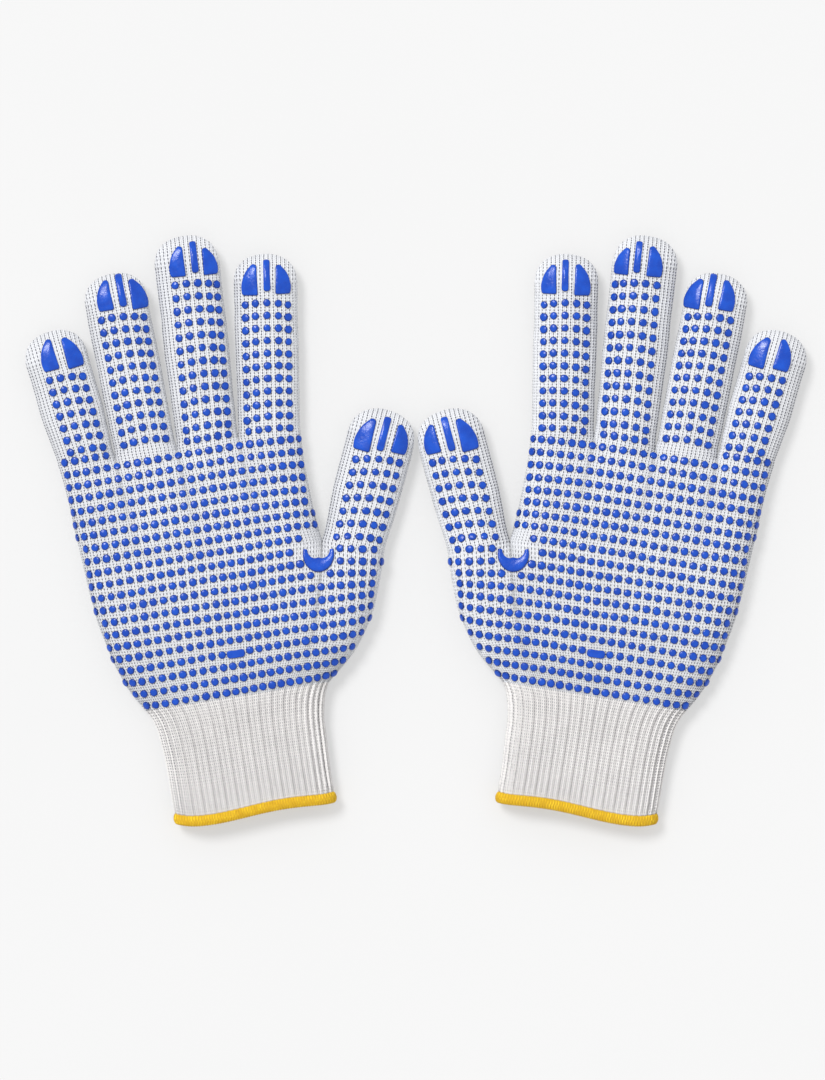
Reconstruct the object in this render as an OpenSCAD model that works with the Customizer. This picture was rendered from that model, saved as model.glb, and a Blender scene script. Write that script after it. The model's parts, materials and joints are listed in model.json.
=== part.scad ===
// Pair of seamless knitted work gloves with dotted palms, lying palm up.
// The frame has its origin in the middle of the pair's footprint, on the surface
// that the gloves lie on. +X runs towards the left-hand glove, +Y towards the
// fingertips and +Z out of the palms. All sizes are in millimetres.

/* [Palm] */
// Distance from the middle of the wrist to the middle of the knuckle line
palm_length = 101.9; // [84:0.1:123]
// Lean of the palm away from the thumb, in degrees
palm_lean = 13.2; // [8:0.1:18]
// Extra height of the palm over the fingers
palm_puff = 2.4; // [0.5:0.1:5]
// Drop from the index knuckle to the thumb crotch
crotch_drop = 43.3; // [34:0.1:52]
// Sideways step from the index knuckle to the thumb crotch
crotch_flare = 8.6; // [4:0.1:12]

/* [Fingers] */
// Width of the little finger at its web
little_width = 23; // [19:0.1:28]
// Width of the ring finger at its web
ring_width = 25.3; // [20:0.1:30]
// Width of the middle finger at its web
middle_width = 25.3; // [20:0.1:30]
// Width of the index finger at its web
index_width = 25.5; // [20:0.1:30]
// Width of the thumb at its web
thumb_width = 25.3; // [20:0.1:30]
// Length of the little finger from its web to its tip
little_length = 55.2; // [46:0.1:66]
// Length of the ring finger from its web to its tip
ring_length = 74; // [62:0.1:88]
// Length of the middle finger from its web to its tip
middle_length = 84.3; // [72:0.1:101]
// Length of the index finger from its web to its tip
index_length = 73.5; // [62:0.1:88]
// Length of the thumb from its web to its tip
thumb_length = 57.3; // [47:0.1:68]
// Width of the little finger near its tip
little_tip_width = 25.2; // [20:0.1:28]
// Width of the ring finger near its tip
ring_tip_width = 25.4; // [20:0.1:28]
// Width of the middle finger near its tip
middle_tip_width = 26.4; // [20:0.1:28]
// Width of the index finger near its tip
index_tip_width = 26.2; // [20:0.1:28]
// Width of the thumb near its tip
thumb_tip_width = 27.4; // [20:0.1:30]
// Thickness of a finger lying flat, through both layers of knit
finger_thickness = 12.4; // [10:0.1:15]
// Clear space between neighbouring fingers at their webs
finger_gap = 0.7; // [0.5:0.1:2]
// Clear space between two rigid stretches of knit at a joint
joint_gap = 0.4; // [0.3:0.05:0.8]

/* [Knit] */
// Thickness of one layer of knit
knit_wall = 1.3; // [1:0.05:1.7]
// Clear space between the two thumbs of the pair
pair_gap = 1.7; // [1:0.1:60]

/* [Cuff] */
// Width of the wrist, where the palm meets the cuff
wrist_width = 75; // [62:0.1:90]
// Width of the cuff at the hem
cuff_width = 64.4; // [53:0.1:78]
// Length of the cuff with its hem
cuff_length = 48.9; // [38:0.1:60]
// Lean of the cuff towards the thumb, in degrees
cuff_lean = 9; // [4:0.1:14]
// Height of the overlocked hem, along the cuff
hem_height = 4.4; // [3.4:0.1:6]
// How far the hem stands out from the knit, inside and out
hem_thickness = 0.9; // [0.6:0.1:1.3]
// How far the hem stitches bite into the knit
hem_bite = 0.05; // [0.02:0.01:0.1]
// Number of elastic threads laid into the cuff
elastic_count = 6; // [3:1:9]
// Thickness of an elastic thread
elastic_thickness = 0.7; // [0.4:0.1:1]

/* [Grip dots] */
// Diameter of one dot
dot_diameter = 2.9; // [2.2:0.1:3.5]
// Height of one dot above the knit
dot_height = 0.85; // [0.5:0.05:1.2]
// How far the dots and patches soak into the knit
print_soak = 0.5; // [0.4:0.05:0.7]
// Pitch of the dots across the hand
dot_pitch_across = 4.35; // [3.9:0.05:5.2]
// Pitch of the dots along the hand
dot_pitch_along = 5.2; // [4.2:0.05:6.2]
// Pitch of the dots round a finger
dot_pitch_round = 4.7; // [4.2:0.05:5.6]
// Slant of the dot rows on the palm, in degrees
dot_slant = 9.5; // [0:0.5:12]
// Lean of the dot columns on the palm, in degrees
dot_lean = 6.5; // [0:0.5:12]
// Clear knit between a dot and a joint, an edge or another print
dot_margin = 0.9; // [0.7:0.1:1.5]

/* [Tip patches] */
// Length of a fingertip patch
patch_length = 12.6; // [10:0.1:14]
// Width of the bar in the middle of a fingertip
patch_bar = 2.3; // [1.6:0.1:3]
// Bare knit between two patches of one fingertip
patch_gap = 1.1; // [0.8:0.1:1.6]

/* [Hidden] */
SIDES = ["right", "left"];
DIGITS = ["thumb", "index", "middle", "ring", "little"];

knit_colour = [0.93, 0.93, 0.92];
rib_colour = [0.95, 0.93, 0.93];
print_colour = [0.10, 0.27, 0.88];
hem_colour = [0.97, 0.79, 0.10];
elastic_colour = [0.80, 0.80, 0.76];

// Half of a finger's thickness is also the height of the fold line of every tube.
fold_z = finger_thickness / 2;
// Half height that the knit keeps where its front and back fold into each other,
// outside and inside.
fold_outer = knit_wall + 0.3;
fold_inner = 0.3;
// Width of the rounded border along a fold, on the palm side and on the back.
palm_round = 13;
back_round = 9;
// Columns of facets in one finger's share of the palm, and rows in the palm's two parts.
lobe_cols = 6;
low_rows = 7;
high_rows = 6;
palm_cols = 4 * lobe_cols;
all_cols = 5 * lobe_cols;
// Points round a finger and columns across the cuff.
ring_points = 20;
cuff_cols = 18;

function turned(length, angle) = length * [cos(angle), sin(angle)];
function mix(a, b, t) = a + (b - a) * t;
function between(x, low, high) = max(low, min(high, x));
// Cosine spacing, which is dense at both ends.
function eased(k, count) = (1 - cos(180 * k / count)) / 2;
// Height of a rounded border at a distance from its fold, as a share of the full height.
function round_share(distance, width) =
    sqrt(1 - pow(1 - between(distance, 0, width) / width, 2));
function cubic(a, b, c, d, t) =
    pow(1 - t, 3) * a + 3 * pow(1 - t, 2) * t * b + 3 * (1 - t) * t * t * c + pow(t, 3) * d;
function to_segment(p, a, b) =
    let (run = b - a, size = run * run, t = size == 0 ? 0 : between((p - a) * run / size, 0, 1))
    norm(p - a - run * t);

// ---- Outline of the right-hand glove, from the middle of its wrist ----

knuckle_middle = turned(palm_length, 90 + palm_lean);
// Slope of the knuckle line under the little, ring, middle and index finger.
knuckle_slopes = [11.3, 7.3, 12.1, 1.8];
finger_widths = [little_width, ring_width, middle_width, index_width];
knuckle_steps = [for (k = [0:3]) turned(finger_widths[k], knuckle_slopes[k])];
function steps_before(k) = k == 0 ? [0, 0] : steps_before(k - 1) + knuckle_steps[k - 1];
// Web points from the outer side of the little finger to the outer side of the index.
webs = [for (k = [0:4]) knuckle_middle - steps_before(4) / 2 + steps_before(k)];

wrist_left = turned(-wrist_width / 2, cuff_lean);
wrist_right = turned(wrist_width / 2, cuff_lean);
crotch = webs[4] + [crotch_flare, -crotch_drop];
thumb_slope = -11.2;
thumb_outside = crotch + turned(thumb_width, thumb_slope);

// Where the side of the hand passes the height of the thumb crotch.
side_break = 0.6;
function hand_side(t) =
    cubic(wrist_left, wrist_left + [-22.9, 23.9], webs[0] + [10.1, -32.3], webs[0], t);
function thumb_side(t) =
    cubic(wrist_right, wrist_right + [10.7, 11], thumb_outside + [-2.6, -30], thumb_outside, t);
function index_side(t) =
    cubic(crotch, mix(crotch, webs[4], 0.3) + [-1.2, 0],
        mix(crotch, webs[4], 0.7) + [-1.5, 0], webs[4], t);

// One finger: name, web on its left and right, slope of its web line, lean,
// length, rows of dots on its base stretch, columns of dots, width near the tip,
// and how far its print sits off its middle, towards the thumb side.
digits = [
    ["thumb", crotch, thumb_outside, thumb_slope, 14.5, thumb_length, 4, 5, thumb_tip_width, 1.1],
    ["index", webs[3], webs[4], knuckle_slopes[3], -1.5, index_length, 6, 5, index_tip_width, 0.4],
    ["middle", webs[2], webs[3], knuckle_slopes[2], -6.5, middle_length, 7, 5, middle_tip_width, 2.6],
    ["ring", webs[1], webs[2], knuckle_slopes[1], -11.1, ring_length, 6, 5, ring_tip_width, 1.5],
    ["little", webs[0], webs[1], knuckle_slopes[0], -16.3, little_length, 4, 4, little_tip_width, 2]
];
function digit_named(name) = digits[search([name], digits)[0]];
function digit_middle(digit) = (digit[1] + digit[2]) / 2;
function digit_tip(digit) = digit_middle(digit) + turned(digit[5], 90 - digit[4]);
function web_half(digit) = norm(digit[2] - digit[1]) / 2 - finger_gap / 2;
function tip_half(digit) = digit[8] / 2;
// Length of the base stretch, which ends half way between two rows of dots.
function base_length(digit) = digit[6] * dot_pitch_along;
// Length of the rounded fingertip.
function cap_length(digit) = tip_half(digit) * 0.95;

// The pair is centred: thumbs meet at X = 0, fingertip and hem lie as far from Y = 0.
hem_low = -cuff_length * cos(cuff_lean) - (cuff_width / 2 + hem_thickness) * sin(cuff_lean);
wrist_place = [
    -digit_tip(digits[0])[0] + cap_length(digits[0]) * sin(digits[0][4])
        - tip_half(digits[0]) - pair_gap / 2,
    -(digit_tip(digits[2])[1] + hem_low) / 2
];

// ---- Shells of knit ----

// A tube of knit: rings of points outside and inside, open at both ends, or closed
// by an outer and an inner apex.
module knit_tube(outer, inner, apexes) {
    rings = len(outer);
    around = len(outer[0]);
    inside = rings * around;
    points = concat(
        [for (ring = outer) each ring],
        [for (ring = inner) each ring],
        apexes);
    function at(r, k) = r * around + k % around;
    sides = [for (r = [0:rings - 2]) for (k = [0:around - 1])
        [at(r, k), at(r, k + 1), at(r + 1, k + 1), at(r + 1, k)]];
    lining = [for (r = [0:rings - 2]) for (k = [0:around - 1])
        [for (p = [at(r, k), at(r + 1, k), at(r + 1, k + 1), at(r, k + 1)]) inside + p]];
    mouth = [for (k = [0:around - 1])
        [at(0, k), inside + at(0, k), inside + at(0, k + 1), at(0, k + 1)]];
    last = rings - 1;
    far_end = len(apexes) == 0
        ? [for (k = [0:around - 1])
            [at(last, k), at(last, k + 1), inside + at(last, k + 1), inside + at(last, k)]]
        : [for (k = [0:around - 1])
            each [[at(last, k), at(last, k + 1), 2 * inside],
                  [inside + at(last, k + 1), inside + at(last, k), 2 * inside + 1]]];
    polyhedron(points = points, faces = concat(sides, lining, mouth, far_end), convexity = 8);
}

// A printed patch on a surface: place(u, v) gives a point and height(x, y) its level.
module skin_patch(place, height, along, across) {
    count = (along + 1) * (across + 1);
    top = [for (i = [0:along]) for (j = [0:across])
        let (p = place(i / along, j / across)) [p[0], p[1], height(p[0], p[1])]];
    function at(i, j) = i * (across + 1) + j;
    rim = concat(
        [for (j = [0:across]) at(0, j)],
        [for (i = [1:along]) at(i, across)],
        [for (j = [across - 1:-1:0]) at(along, j)],
        [for (i = [along - 1:-1:1]) at(i, 0)]);
    rim_count = len(rim);
    polyhedron(
        points = concat(
            [for (p = top) p + [0, 0, dot_height]],
            [for (p = top) p - [0, 0, print_soak]]),
        faces = concat(
            [for (i = [0:along - 1]) for (j = [0:across - 1])
                [at(i, j), at(i + 1, j), at(i + 1, j + 1), at(i, j + 1)]],
            [for (i = [0:along - 1]) for (j = [0:across - 1])
                [for (p = [at(i, j), at(i, j + 1), at(i + 1, j + 1), at(i + 1, j)]) count + p]],
            [for (k = [0:rim_count - 1])
                let (p = rim[k], q = rim[(k + 1) % rim_count]) [p, q, count + q, count + p]]),
        convexity = 4);
}

// One dot of printed vinyl, with a flattened dome.
module dot() {
    radius = dot_diameter / 2;
    translate([0, 0, -print_soak])
        cylinder(h = print_soak + dot_height * 0.4, r = radius);
    translate([0, 0, dot_height * 0.4])
        cylinder(h = dot_height * 0.6, r1 = radius, r2 = radius * 0.6);
}

// ---- Palm ----

function lobe_share(j) = (floor(j / lobe_cols) + eased(j % lobe_cols, lobe_cols)) / 4;
thumb_share = 0.2;
function wrist_share(j) = j <= palm_cols
    ? (1 - thumb_share) * lobe_share(j)
    : 1 - thumb_share + thumb_share * eased(j - palm_cols, lobe_cols);
function knuckle_point(j) =
    let (k = min(3, floor(j / lobe_cols)))
    mix(webs[k], webs[k + 1], eased(j - k * lobe_cols, lobe_cols));
function crotch_point(j) = j <= palm_cols
    ? mix(hand_side(side_break), crotch, lobe_share(j))
    : mix(crotch, thumb_outside, eased(j - palm_cols, lobe_cols));
// A point of a patch whose rows run between two given rows and two given sides.
function patch_point(low, high, left, left_low, left_high, right, right_low, right_high, u, v) =
    mix(low, high, v) + (1 - u) * (left - mix(left_low, left_high, v))
    + u * (right - mix(right_low, right_high, v));
function palm_point(i, j) = i <= low_rows
    ? let (v = i / low_rows)
        patch_point(mix(wrist_left, wrist_right, wrist_share(j)), crotch_point(j),
            hand_side(v * side_break), wrist_left, hand_side(side_break),
            thumb_side(v), wrist_right, thumb_outside, wrist_share(j), v)
    : let (v = (i - low_rows) / high_rows)
        patch_point(crotch_point(j), knuckle_point(j),
            hand_side(mix(side_break, 1, v)), hand_side(side_break), webs[0],
            index_side(v), crotch, webs[4], lobe_share(j), v);

side_steps = 12;
function chain(points) = [for (k = [0:len(points) - 2]) [points[k], points[k + 1]]];
folds = concat(
    chain([for (k = [0:side_steps]) hand_side(k / side_steps)]),
    chain([for (k = [0:side_steps]) thumb_side(k / side_steps)]),
    chain([for (k = [0:side_steps / 2]) index_side(2 * k / side_steps)]),
    [for (k = [1:3]) [webs[k], webs[k]]]);
function to_fold(p) = min([for (fold = folds) to_segment(p, fold[0], fold[1])]);

// Full half height of the palm above the fold line, which swells between wrist and knuckles.
function palm_height(p) =
    fold_z + palm_puff * sin(180 * between((p[1] + 6) / (palm_length + 2), 0, 1));
function level(distance, full, border, least, inset) =
    least + (full - inset - least) * round_share(distance - inset, border - inset);
function palm_top(x, y) =
    fold_z + level(to_fold([x, y]), palm_height([x, y]), palm_round, fold_outer, 0);

// Inside the palm the knit's own thickness moves the border columns inwards.
function inset_of(k) = knit_wall * max(0, 1 - 0.35 * k);
function inner_point(i, j) =
    i == low_rows && j == palm_cols ? crotch - [0, knit_wall] :
    let (p = palm_point(i, j),
         left = inset_of(j),
         right = i < low_rows ? inset_of(all_cols - j)
             : i == low_rows ? (j > palm_cols ? inset_of(all_cols - j) : 0)
             : inset_of(palm_cols - j))
    p + [left - right, 0];

module palm_knit() {
    // Every grid position has four points: outer and inner, above and below the fold line.
    spots = concat(
        [for (i = [0:low_rows]) for (j = [0:all_cols]) [i, j]],
        [for (i = [low_rows + 1:low_rows + high_rows]) for (j = [0:palm_cols]) [i, j]]);
    outer = [for (s = spots) palm_point(s[0], s[1])];
    inner = [for (s = spots) inner_point(s[0], s[1])];
    gap = [for (p = outer) to_fold(p)];
    count = len(spots);
    points = concat(
        [for (k = [0:count - 1]) [each outer[k],
            fold_z + level(gap[k], palm_height(outer[k]), palm_round, fold_outer, 0)]],
        [for (k = [0:count - 1]) [each outer[k],
            fold_z - level(gap[k], fold_z, back_round, fold_outer, 0)]],
        [for (k = [0:count - 1]) [each inner[k],
            fold_z + level(gap[k], palm_height(outer[k]), palm_round, fold_inner, knit_wall)]],
        [for (k = [0:count - 1]) [each inner[k],
            fold_z - level(gap[k], fold_z, back_round, fold_inner, knit_wall)]]);
    function at(layer, i, j) = layer * count
        + (i <= low_rows ? i * (all_cols + 1) + j
           : (low_rows + 1) * (all_cols + 1) + (i - low_rows - 1) * (palm_cols + 1) + j);
    rows = low_rows + high_rows;
    cells = concat(
        [for (i = [0:low_rows - 1]) for (j = [0:all_cols - 1]) [i, j]],
        [for (i = [low_rows:rows - 1]) for (j = [0:palm_cols - 1]) [i, j]]);
    function upward(n, c) =
        [at(n, c[0], c[1]), at(n, c[0] + 1, c[1]), at(n, c[0] + 1, c[1] + 1), at(n, c[0], c[1] + 1)];
    function downward(n, c) =
        [at(n, c[0], c[1]), at(n, c[0], c[1] + 1), at(n, c[0] + 1, c[1] + 1), at(n, c[0] + 1, c[1])];
    // A fold joins the top and the bottom layer along one column.
    function left_fold(top, bottom, i, j) =
        [at(top, i + 1, j), at(top, i, j), at(bottom, i, j), at(bottom, i + 1, j)];
    function right_fold(top, bottom, i, j) =
        [at(top, i, j), at(top, i + 1, j), at(bottom, i + 1, j), at(bottom, i, j)];
    // A rim joins the outer and the inner layers along one open row.
    function near_rim(i, from, to) = concat(
        [for (j = [from:to - 1]) [at(0, i, j), at(0, i, j + 1), at(2, i, j + 1), at(2, i, j)]],
        [for (j = [from:to - 1]) [at(3, i, j), at(3, i, j + 1), at(1, i, j + 1), at(1, i, j)]],
        [[at(0, i, from), at(2, i, from), at(3, i, from), at(1, i, from)],
         [at(2, i, to), at(0, i, to), at(1, i, to), at(3, i, to)]]);
    function reversed(faces) = [for (f = faces) [for (k = [len(f) - 1:-1:0]) f[k]]];
    polyhedron(
        points = points,
        faces = concat(
            [for (c = cells) upward(0, c)], [for (c = cells) downward(1, c)],
            [for (c = cells) downward(2, c)], [for (c = cells) upward(3, c)],
            [for (i = [0:rows - 1]) left_fold(0, 1, i, 0)],
            [for (i = [0:rows - 1]) right_fold(2, 3, i, 0)],
            [for (i = [0:low_rows - 1]) right_fold(0, 1, i, all_cols)],
            [for (i = [0:low_rows - 1]) left_fold(2, 3, i, all_cols)],
            [for (i = [low_rows:rows - 1]) right_fold(0, 1, i, palm_cols)],
            [for (i = [low_rows:rows - 1]) left_fold(2, 3, i, palm_cols)],
            near_rim(0, 0, all_cols),
            reversed(near_rim(low_rows, palm_cols, all_cols)),
            reversed(near_rim(rows, 0, palm_cols))),
        convexity = 12);
}

print_room = dot_diameter / 2 + dot_margin;
palm_outline = concat(
    [for (k = [0:side_steps]) hand_side(k / side_steps)],
    [webs[1], webs[2], webs[3]],
    [for (k = [side_steps / 2:-1:0]) index_side(2 * k / side_steps)],
    [for (k = [side_steps:-1:0]) thumb_side(k / side_steps)]);
function crossings(p, points) = len([
    for (k = [0:len(points) - 1])
        let (a = points[k], b = points[(k + 1) % len(points)])
        if ((a[1] > p[1]) != (b[1] > p[1])
            && p[0] < a[0] + (b[0] - a[0]) * (p[1] - a[1]) / (b[1] - a[1])) 1]);
open_lines = concat(
    [for (k = [0:3]) [webs[k], webs[k + 1]]],
    [[crotch, thumb_outside], [wrist_left, wrist_right]]);

// The small bar low in the palm.
bar_middle = [-0.4, 17.4];
bar_length = 7.7;
bar_width = 2.7;
// The crescent under the thumb crotch: middle, outer radius, half its sweep, the
// direction of its thickest spot, and its thickness there and at its tips.
crescent_middle = crotch + [-1.3, -5.9];
crescent_radius = 6.8;
crescent_sweep = 102;
crescent_tilt = -88;
crescent_thick = 5.2;
crescent_thin = 0.55;
// Clear knit between a dot and the bar or the crescent.
print_gap = 0.25;

function has_palm_dot(p) =
    crossings(p, palm_outline) % 2 == 1
    && to_fold(p) > print_room
    && min([for (line = open_lines) to_segment(p, line[0], line[1])]) > print_room
    && to_segment(p, bar_middle - [bar_length / 2, 0], bar_middle + [bar_length / 2, 0])
        > dot_diameter / 2 + bar_width / 2 + print_gap
    && norm(p - crescent_middle) > crescent_radius + dot_diameter / 2 + print_gap;

// Rows and columns that surely cover the palm from its middle.
dot_reach = ceil(palm_length / min(dot_pitch_across, dot_pitch_along));
palm_dot_points = [
    for (row = [-dot_reach:dot_reach]) for (col = [-dot_reach:dot_reach])
        let (p = digit_middle(digits[2]) + turned(col * dot_pitch_across, dot_slant)
                 + turned((row + 0.5) * dot_pitch_along, 90 + dot_lean))
        if (has_palm_dot(p)) p];

module palm_dots() {
    step = 0.4;
    for (p = palm_dot_points) {
        z = palm_top(p[0], p[1]);
        slope = [
            palm_top(p[0] + step, p[1]) - palm_top(p[0] - step, p[1]),
            palm_top(p[0], p[1] + step) - palm_top(p[0], p[1] - step)
        ] / (2 * step);
        translate([p[0], p[1], z])
            rotate(a = atan(norm(slope)), v = [slope[1], -slope[0], norm(slope) == 0 ? 1 : 0])
                dot();
    }
}

module palm_bar() {
    half = (bar_length - bar_width) / 2;
    translate([bar_middle[0], bar_middle[1], palm_top(bar_middle[0], bar_middle[1]) - print_soak])
        rotate([0, 0, dot_slant]) {
            translate([-half, -bar_width / 2, 0])
                cube([2 * half, bar_width, print_soak + dot_height]);
            for (side = [-1, 1])
                translate([side * half, 0, 0])
                    cylinder(h = print_soak + dot_height, d = bar_width);
        }
}

module thumb_crotch_patch() {
    skin_patch(
        function(u, v)
            let (angle = mix(-crescent_sweep, crescent_sweep, u),
                 thick = mix(crescent_thin, crescent_thick, pow(cos(angle * 90 / crescent_sweep), 1.5)))
            crescent_middle + turned(crescent_radius - thick * (1 - v), crescent_tilt + angle),
        function(x, y) palm_top(x, y), 12, 2);
}

// ---- Fingers, along +Y from the middle of the web line ----

function half_width(digit, s) =
    mix(web_half(digit), tip_half(digit), between(s / base_length(digit), 0, 1));
// Share of the full section that is left at a distance along the finger: an ellipse
// that is a little squarer than a true one.
cap_power = 2.3;
function cap_share(s, start, length) =
    pow(1 - pow(between((s - start) / length, 0, 1), cap_power), 1 / cap_power);
function finger_share(digit, s) = cap_share(s, digit[5] - cap_length(digit), cap_length(digit));
function finger_top(digit, x, s) =
    let (share = finger_share(digit, s), reach = half_width(digit, s) * share)
    fold_z + fold_z * share * sqrt(max(0.01, 1 - pow(x / reach, 2)));
// One ring of knit round a finger; tilt shears it to follow the web line.
function finger_ring(half_w, half_h, s, tilt) = [
    for (k = [0:ring_points - 1])
        let (angle = 360 * k / ring_points)
        [half_w * cos(angle), s + half_w * cos(angle) * tan(tilt), fold_z + half_h * sin(angle)]];

module on_digit(digit) {
    translate(concat(digit_middle(digit), 0)) rotate([0, 0, -digit[4]]) children();
}

module base_knit(digit) {
    tilt = digit[3] + digit[4];
    stations = [[joint_gap, tilt], [base_length(digit) / 2, 0], [base_length(digit) - joint_gap / 2, 0]];
    on_digit(digit)
        knit_tube(
            [for (s = stations) finger_ring(half_width(digit, s[0]), fold_z, s[0], s[1])],
            [for (s = stations)
                finger_ring(half_width(digit, s[0]) - knit_wall, fold_z - knit_wall, s[0], s[1])],
            []);
}

module tip_knit(digit) {
    start = base_length(digit) + joint_gap / 2;
    cap = cap_length(digit);
    shoulder = digit[5] - cap;
    // The inner cap ends one wall short of the outer one.
    shares = [0, 0.4, 0.66, 0.86, 0.96];
    outer = concat(
        [finger_ring(tip_half(digit), fold_z, start, 0)],
        [for (q = shares) let (share = cap_share(q, 0, 1))
            finger_ring(tip_half(digit) * share, fold_z * share, shoulder + cap * q, 0)]);
    inner = concat(
        [finger_ring(tip_half(digit) - knit_wall, fold_z - knit_wall, start, 0)],
        [for (q = shares) let (share = cap_share(q, 0, 1))
            finger_ring((tip_half(digit) - knit_wall) * share, (fold_z - knit_wall) * share,
                shoulder + (cap - knit_wall) * q, 0)]);
    on_digit(digit)
        knit_tube(outer, inner, [[0, digit[5], fold_z], [0, digit[5] - knit_wall, fold_z]]);
}

module finger_dot(digit, x, s) {
    reach = half_width(digit, s);
    share = sqrt(1 - pow(x / reach, 2));
    translate([x, s, fold_z + fold_z * share])
        rotate([0, atan(fold_z * x / (reach * reach * share)), 0])
            dot();
}

// Clear knit between a dot and the web line.
web_margin = 0.6;
// Columns of dots, evenly spaced round the finger and so closer together at its sides.
function columns(digit) = [
    for (k = [0:digit[7] - 1])
        let (arc = digit[9] + (k - (digit[7] - 1) / 2) * dot_pitch_round, round_half = web_half(digit))
        round_half * sin(arc / round_half * 180 / PI)];

module base_dots(digit) {
    tilt = digit[3] + digit[4];
    on_digit(digit)
        for (row = [0:digit[6] - 1])
            for (x = columns(digit))
                let (s = (row + 0.5) * dot_pitch_along)
                if (s > joint_gap + x * tan(tilt) + dot_diameter / 2 + web_margin
                    && abs(x) < web_half(digit) - dot_diameter / 2 - web_margin / 4)
                    finger_dot(digit, x, s);
}

// Bare knit between the patches and the fingertip, and how much lower the outer ones end.
patch_inset = 2.7;
patch_step = 1.8;
// Width of an outer patch at its top and at its widest.
patch_narrow = 0.5;
patch_wide = 5.9;
// How far up the outer patches their outer edge starts to curve in.
patch_shoulder = 0.25;
module tip_dots(digit) {
    patch_top = digit[5] - patch_inset;
    patch_low = patch_top - patch_length;
    rows = floor((patch_low - dot_margin - dot_diameter / 2 - base_length(digit)) / dot_pitch_along - 0.5);
    has_bar = digit[7] > 4;
    inner_edge = has_bar ? patch_bar / 2 + patch_gap : patch_gap / 2;
    height = function(x, s) finger_top(digit, x, s);
    on_digit(digit) {
        for (row = [0:rows])
            for (x = columns(digit))
                finger_dot(digit, x, base_length(digit) + (row + 0.5) * dot_pitch_along);
        if (has_bar)
            skin_patch(
                function(u, v) [digit[9] + mix(-0.5, 0.5, v) * patch_bar, mix(patch_low, patch_top, u)],
                height, 4, 1);
        for (side = [-1, 1])
            skin_patch(
                function(u, v)
                    let (s = mix(patch_low, patch_top - patch_step, u),
                         rise = max(0, u - patch_shoulder) / (1 - patch_shoulder),
                         bulge = sqrt(1 - pow(rise * 0.97, 2)),
                         outer_edge = inner_edge + mix(patch_narrow, patch_wide, bulge),
                         near = side < 0 ? outer_edge : inner_edge,
                         far = side < 0 ? inner_edge : outer_edge)
                    [digit[9] + side * mix(near, far, v), s],
                height, 5, 2);
    }
}

// ---- Cuff, along -Y from the middle of the wrist ----

cuff_end_height = fold_z - hem_thickness;
// Distance over which most of the wrist's extra width goes.
wrist_fade = 7;
function cuff_half(s) = cuff_width / 2 + (wrist_width - cuff_width) / 2 * exp(-s / wrist_fade);
function cuff_height(s) = mix(fold_z, cuff_end_height, between(s / (cuff_length - hem_height), 0, 1));
cuff_round = 10;
// A flattened ring round the cuff, moved outwards from the outer face of the knit.
function cuff_ring(s, out) =
    let (half = cuff_half(s) + out,
         height = cuff_height(s) + out,
         least = out > 0 ? fold_outer + out
             : fold_outer * exp(out / knit_wall * ln(fold_outer / fold_inner)),
         xs = [for (k = [0:cuff_cols]) half * (2 * eased(k, cuff_cols) - 1)],
         rise = [for (x = xs) least + (height - least) * round_share(half - abs(x), cuff_round)])
    concat(
        [for (k = [cuff_cols:-1:0]) [xs[k], -s, fold_z + rise[k]]],
        [for (k = [0:cuff_cols]) [xs[k], -s, fold_z - rise[k]]]);

module on_cuff() {
    rotate([0, 0, cuff_lean]) children();
}

// The knit ends this far inside the hem, and the first and last elastic threads lie
// this far from the cuff's two ends.
hem_floor = 1.4;
elastic_start = 10;
elastic_end = 4;
// Knit left over an elastic thread on its outer side is the wall without this much.
elastic_depth = 0.25;
slot_end = cuff_length - hem_floor;
module cuff_rib_knit() {
    stations = [slot_end + hem_bite, cuff_length - hem_height, 24, 12, 5, joint_gap];
    on_cuff()
        knit_tube(
            [for (s = stations) cuff_ring(s, 0)],
            [for (s = stations) cuff_ring(s, -knit_wall)],
            []);
}

module cuff_elastic_threads() {
    spacing = (cuff_length - hem_height - elastic_start - elastic_end) / (elastic_count - 1);
    outside = elastic_depth - knit_wall;
    on_cuff()
        for (k = [0:elastic_count - 1]) {
            s = elastic_start + k * spacing;
            outer = [for (p = cuff_ring(s, outside)) [p[0], p[2]]];
            inner = [for (p = cuff_ring(s, outside - elastic_thickness)) [p[0], p[2]]];
            translate([0, -s + elastic_thickness / 2, 0])
                rotate([90, 0, 0])
                    linear_extrude(height = elastic_thickness)
                        difference() {
                            polygon(outer);
                            polygon(inner);
                        }
        }
}

module cuff_hem() {
    inside = -knit_wall;
    top = cuff_length - hem_height;
    // The section is a U that grips the end of the knit: distance outwards, then along.
    section = [
        [hem_thickness, top + 0.7], [hem_thickness, cuff_length - 1],
        [0.1, cuff_length], [inside - 0.1, cuff_length],
        [inside - hem_thickness, cuff_length - 1], [inside - hem_thickness, top + 0.7],
        [inside - 0.1, top], [inside + hem_bite, slot_end],
        [-hem_bite, slot_end], [0.1, top]
    ];
    rings = [for (p = section) cuff_ring(p[1], p[0])];
    around = len(rings[0]);
    count = len(section);
    on_cuff()
        polyhedron(
            points = [for (ring = rings) each ring],
            faces = [for (r = [0:count - 1]) for (k = [0:around - 1])
                let (next = (r + 1) % count, beside = (k + 1) % around)
                [r * around + k, next * around + k, next * around + beside, r * around + beside]],
            convexity = 8);
}

// ---- Assembly ----

module glove(side) {
    mirror([side == "left" ? 1 : 0, 0, 0])
        translate(concat(wrist_place, 0))
            children();
}

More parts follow.
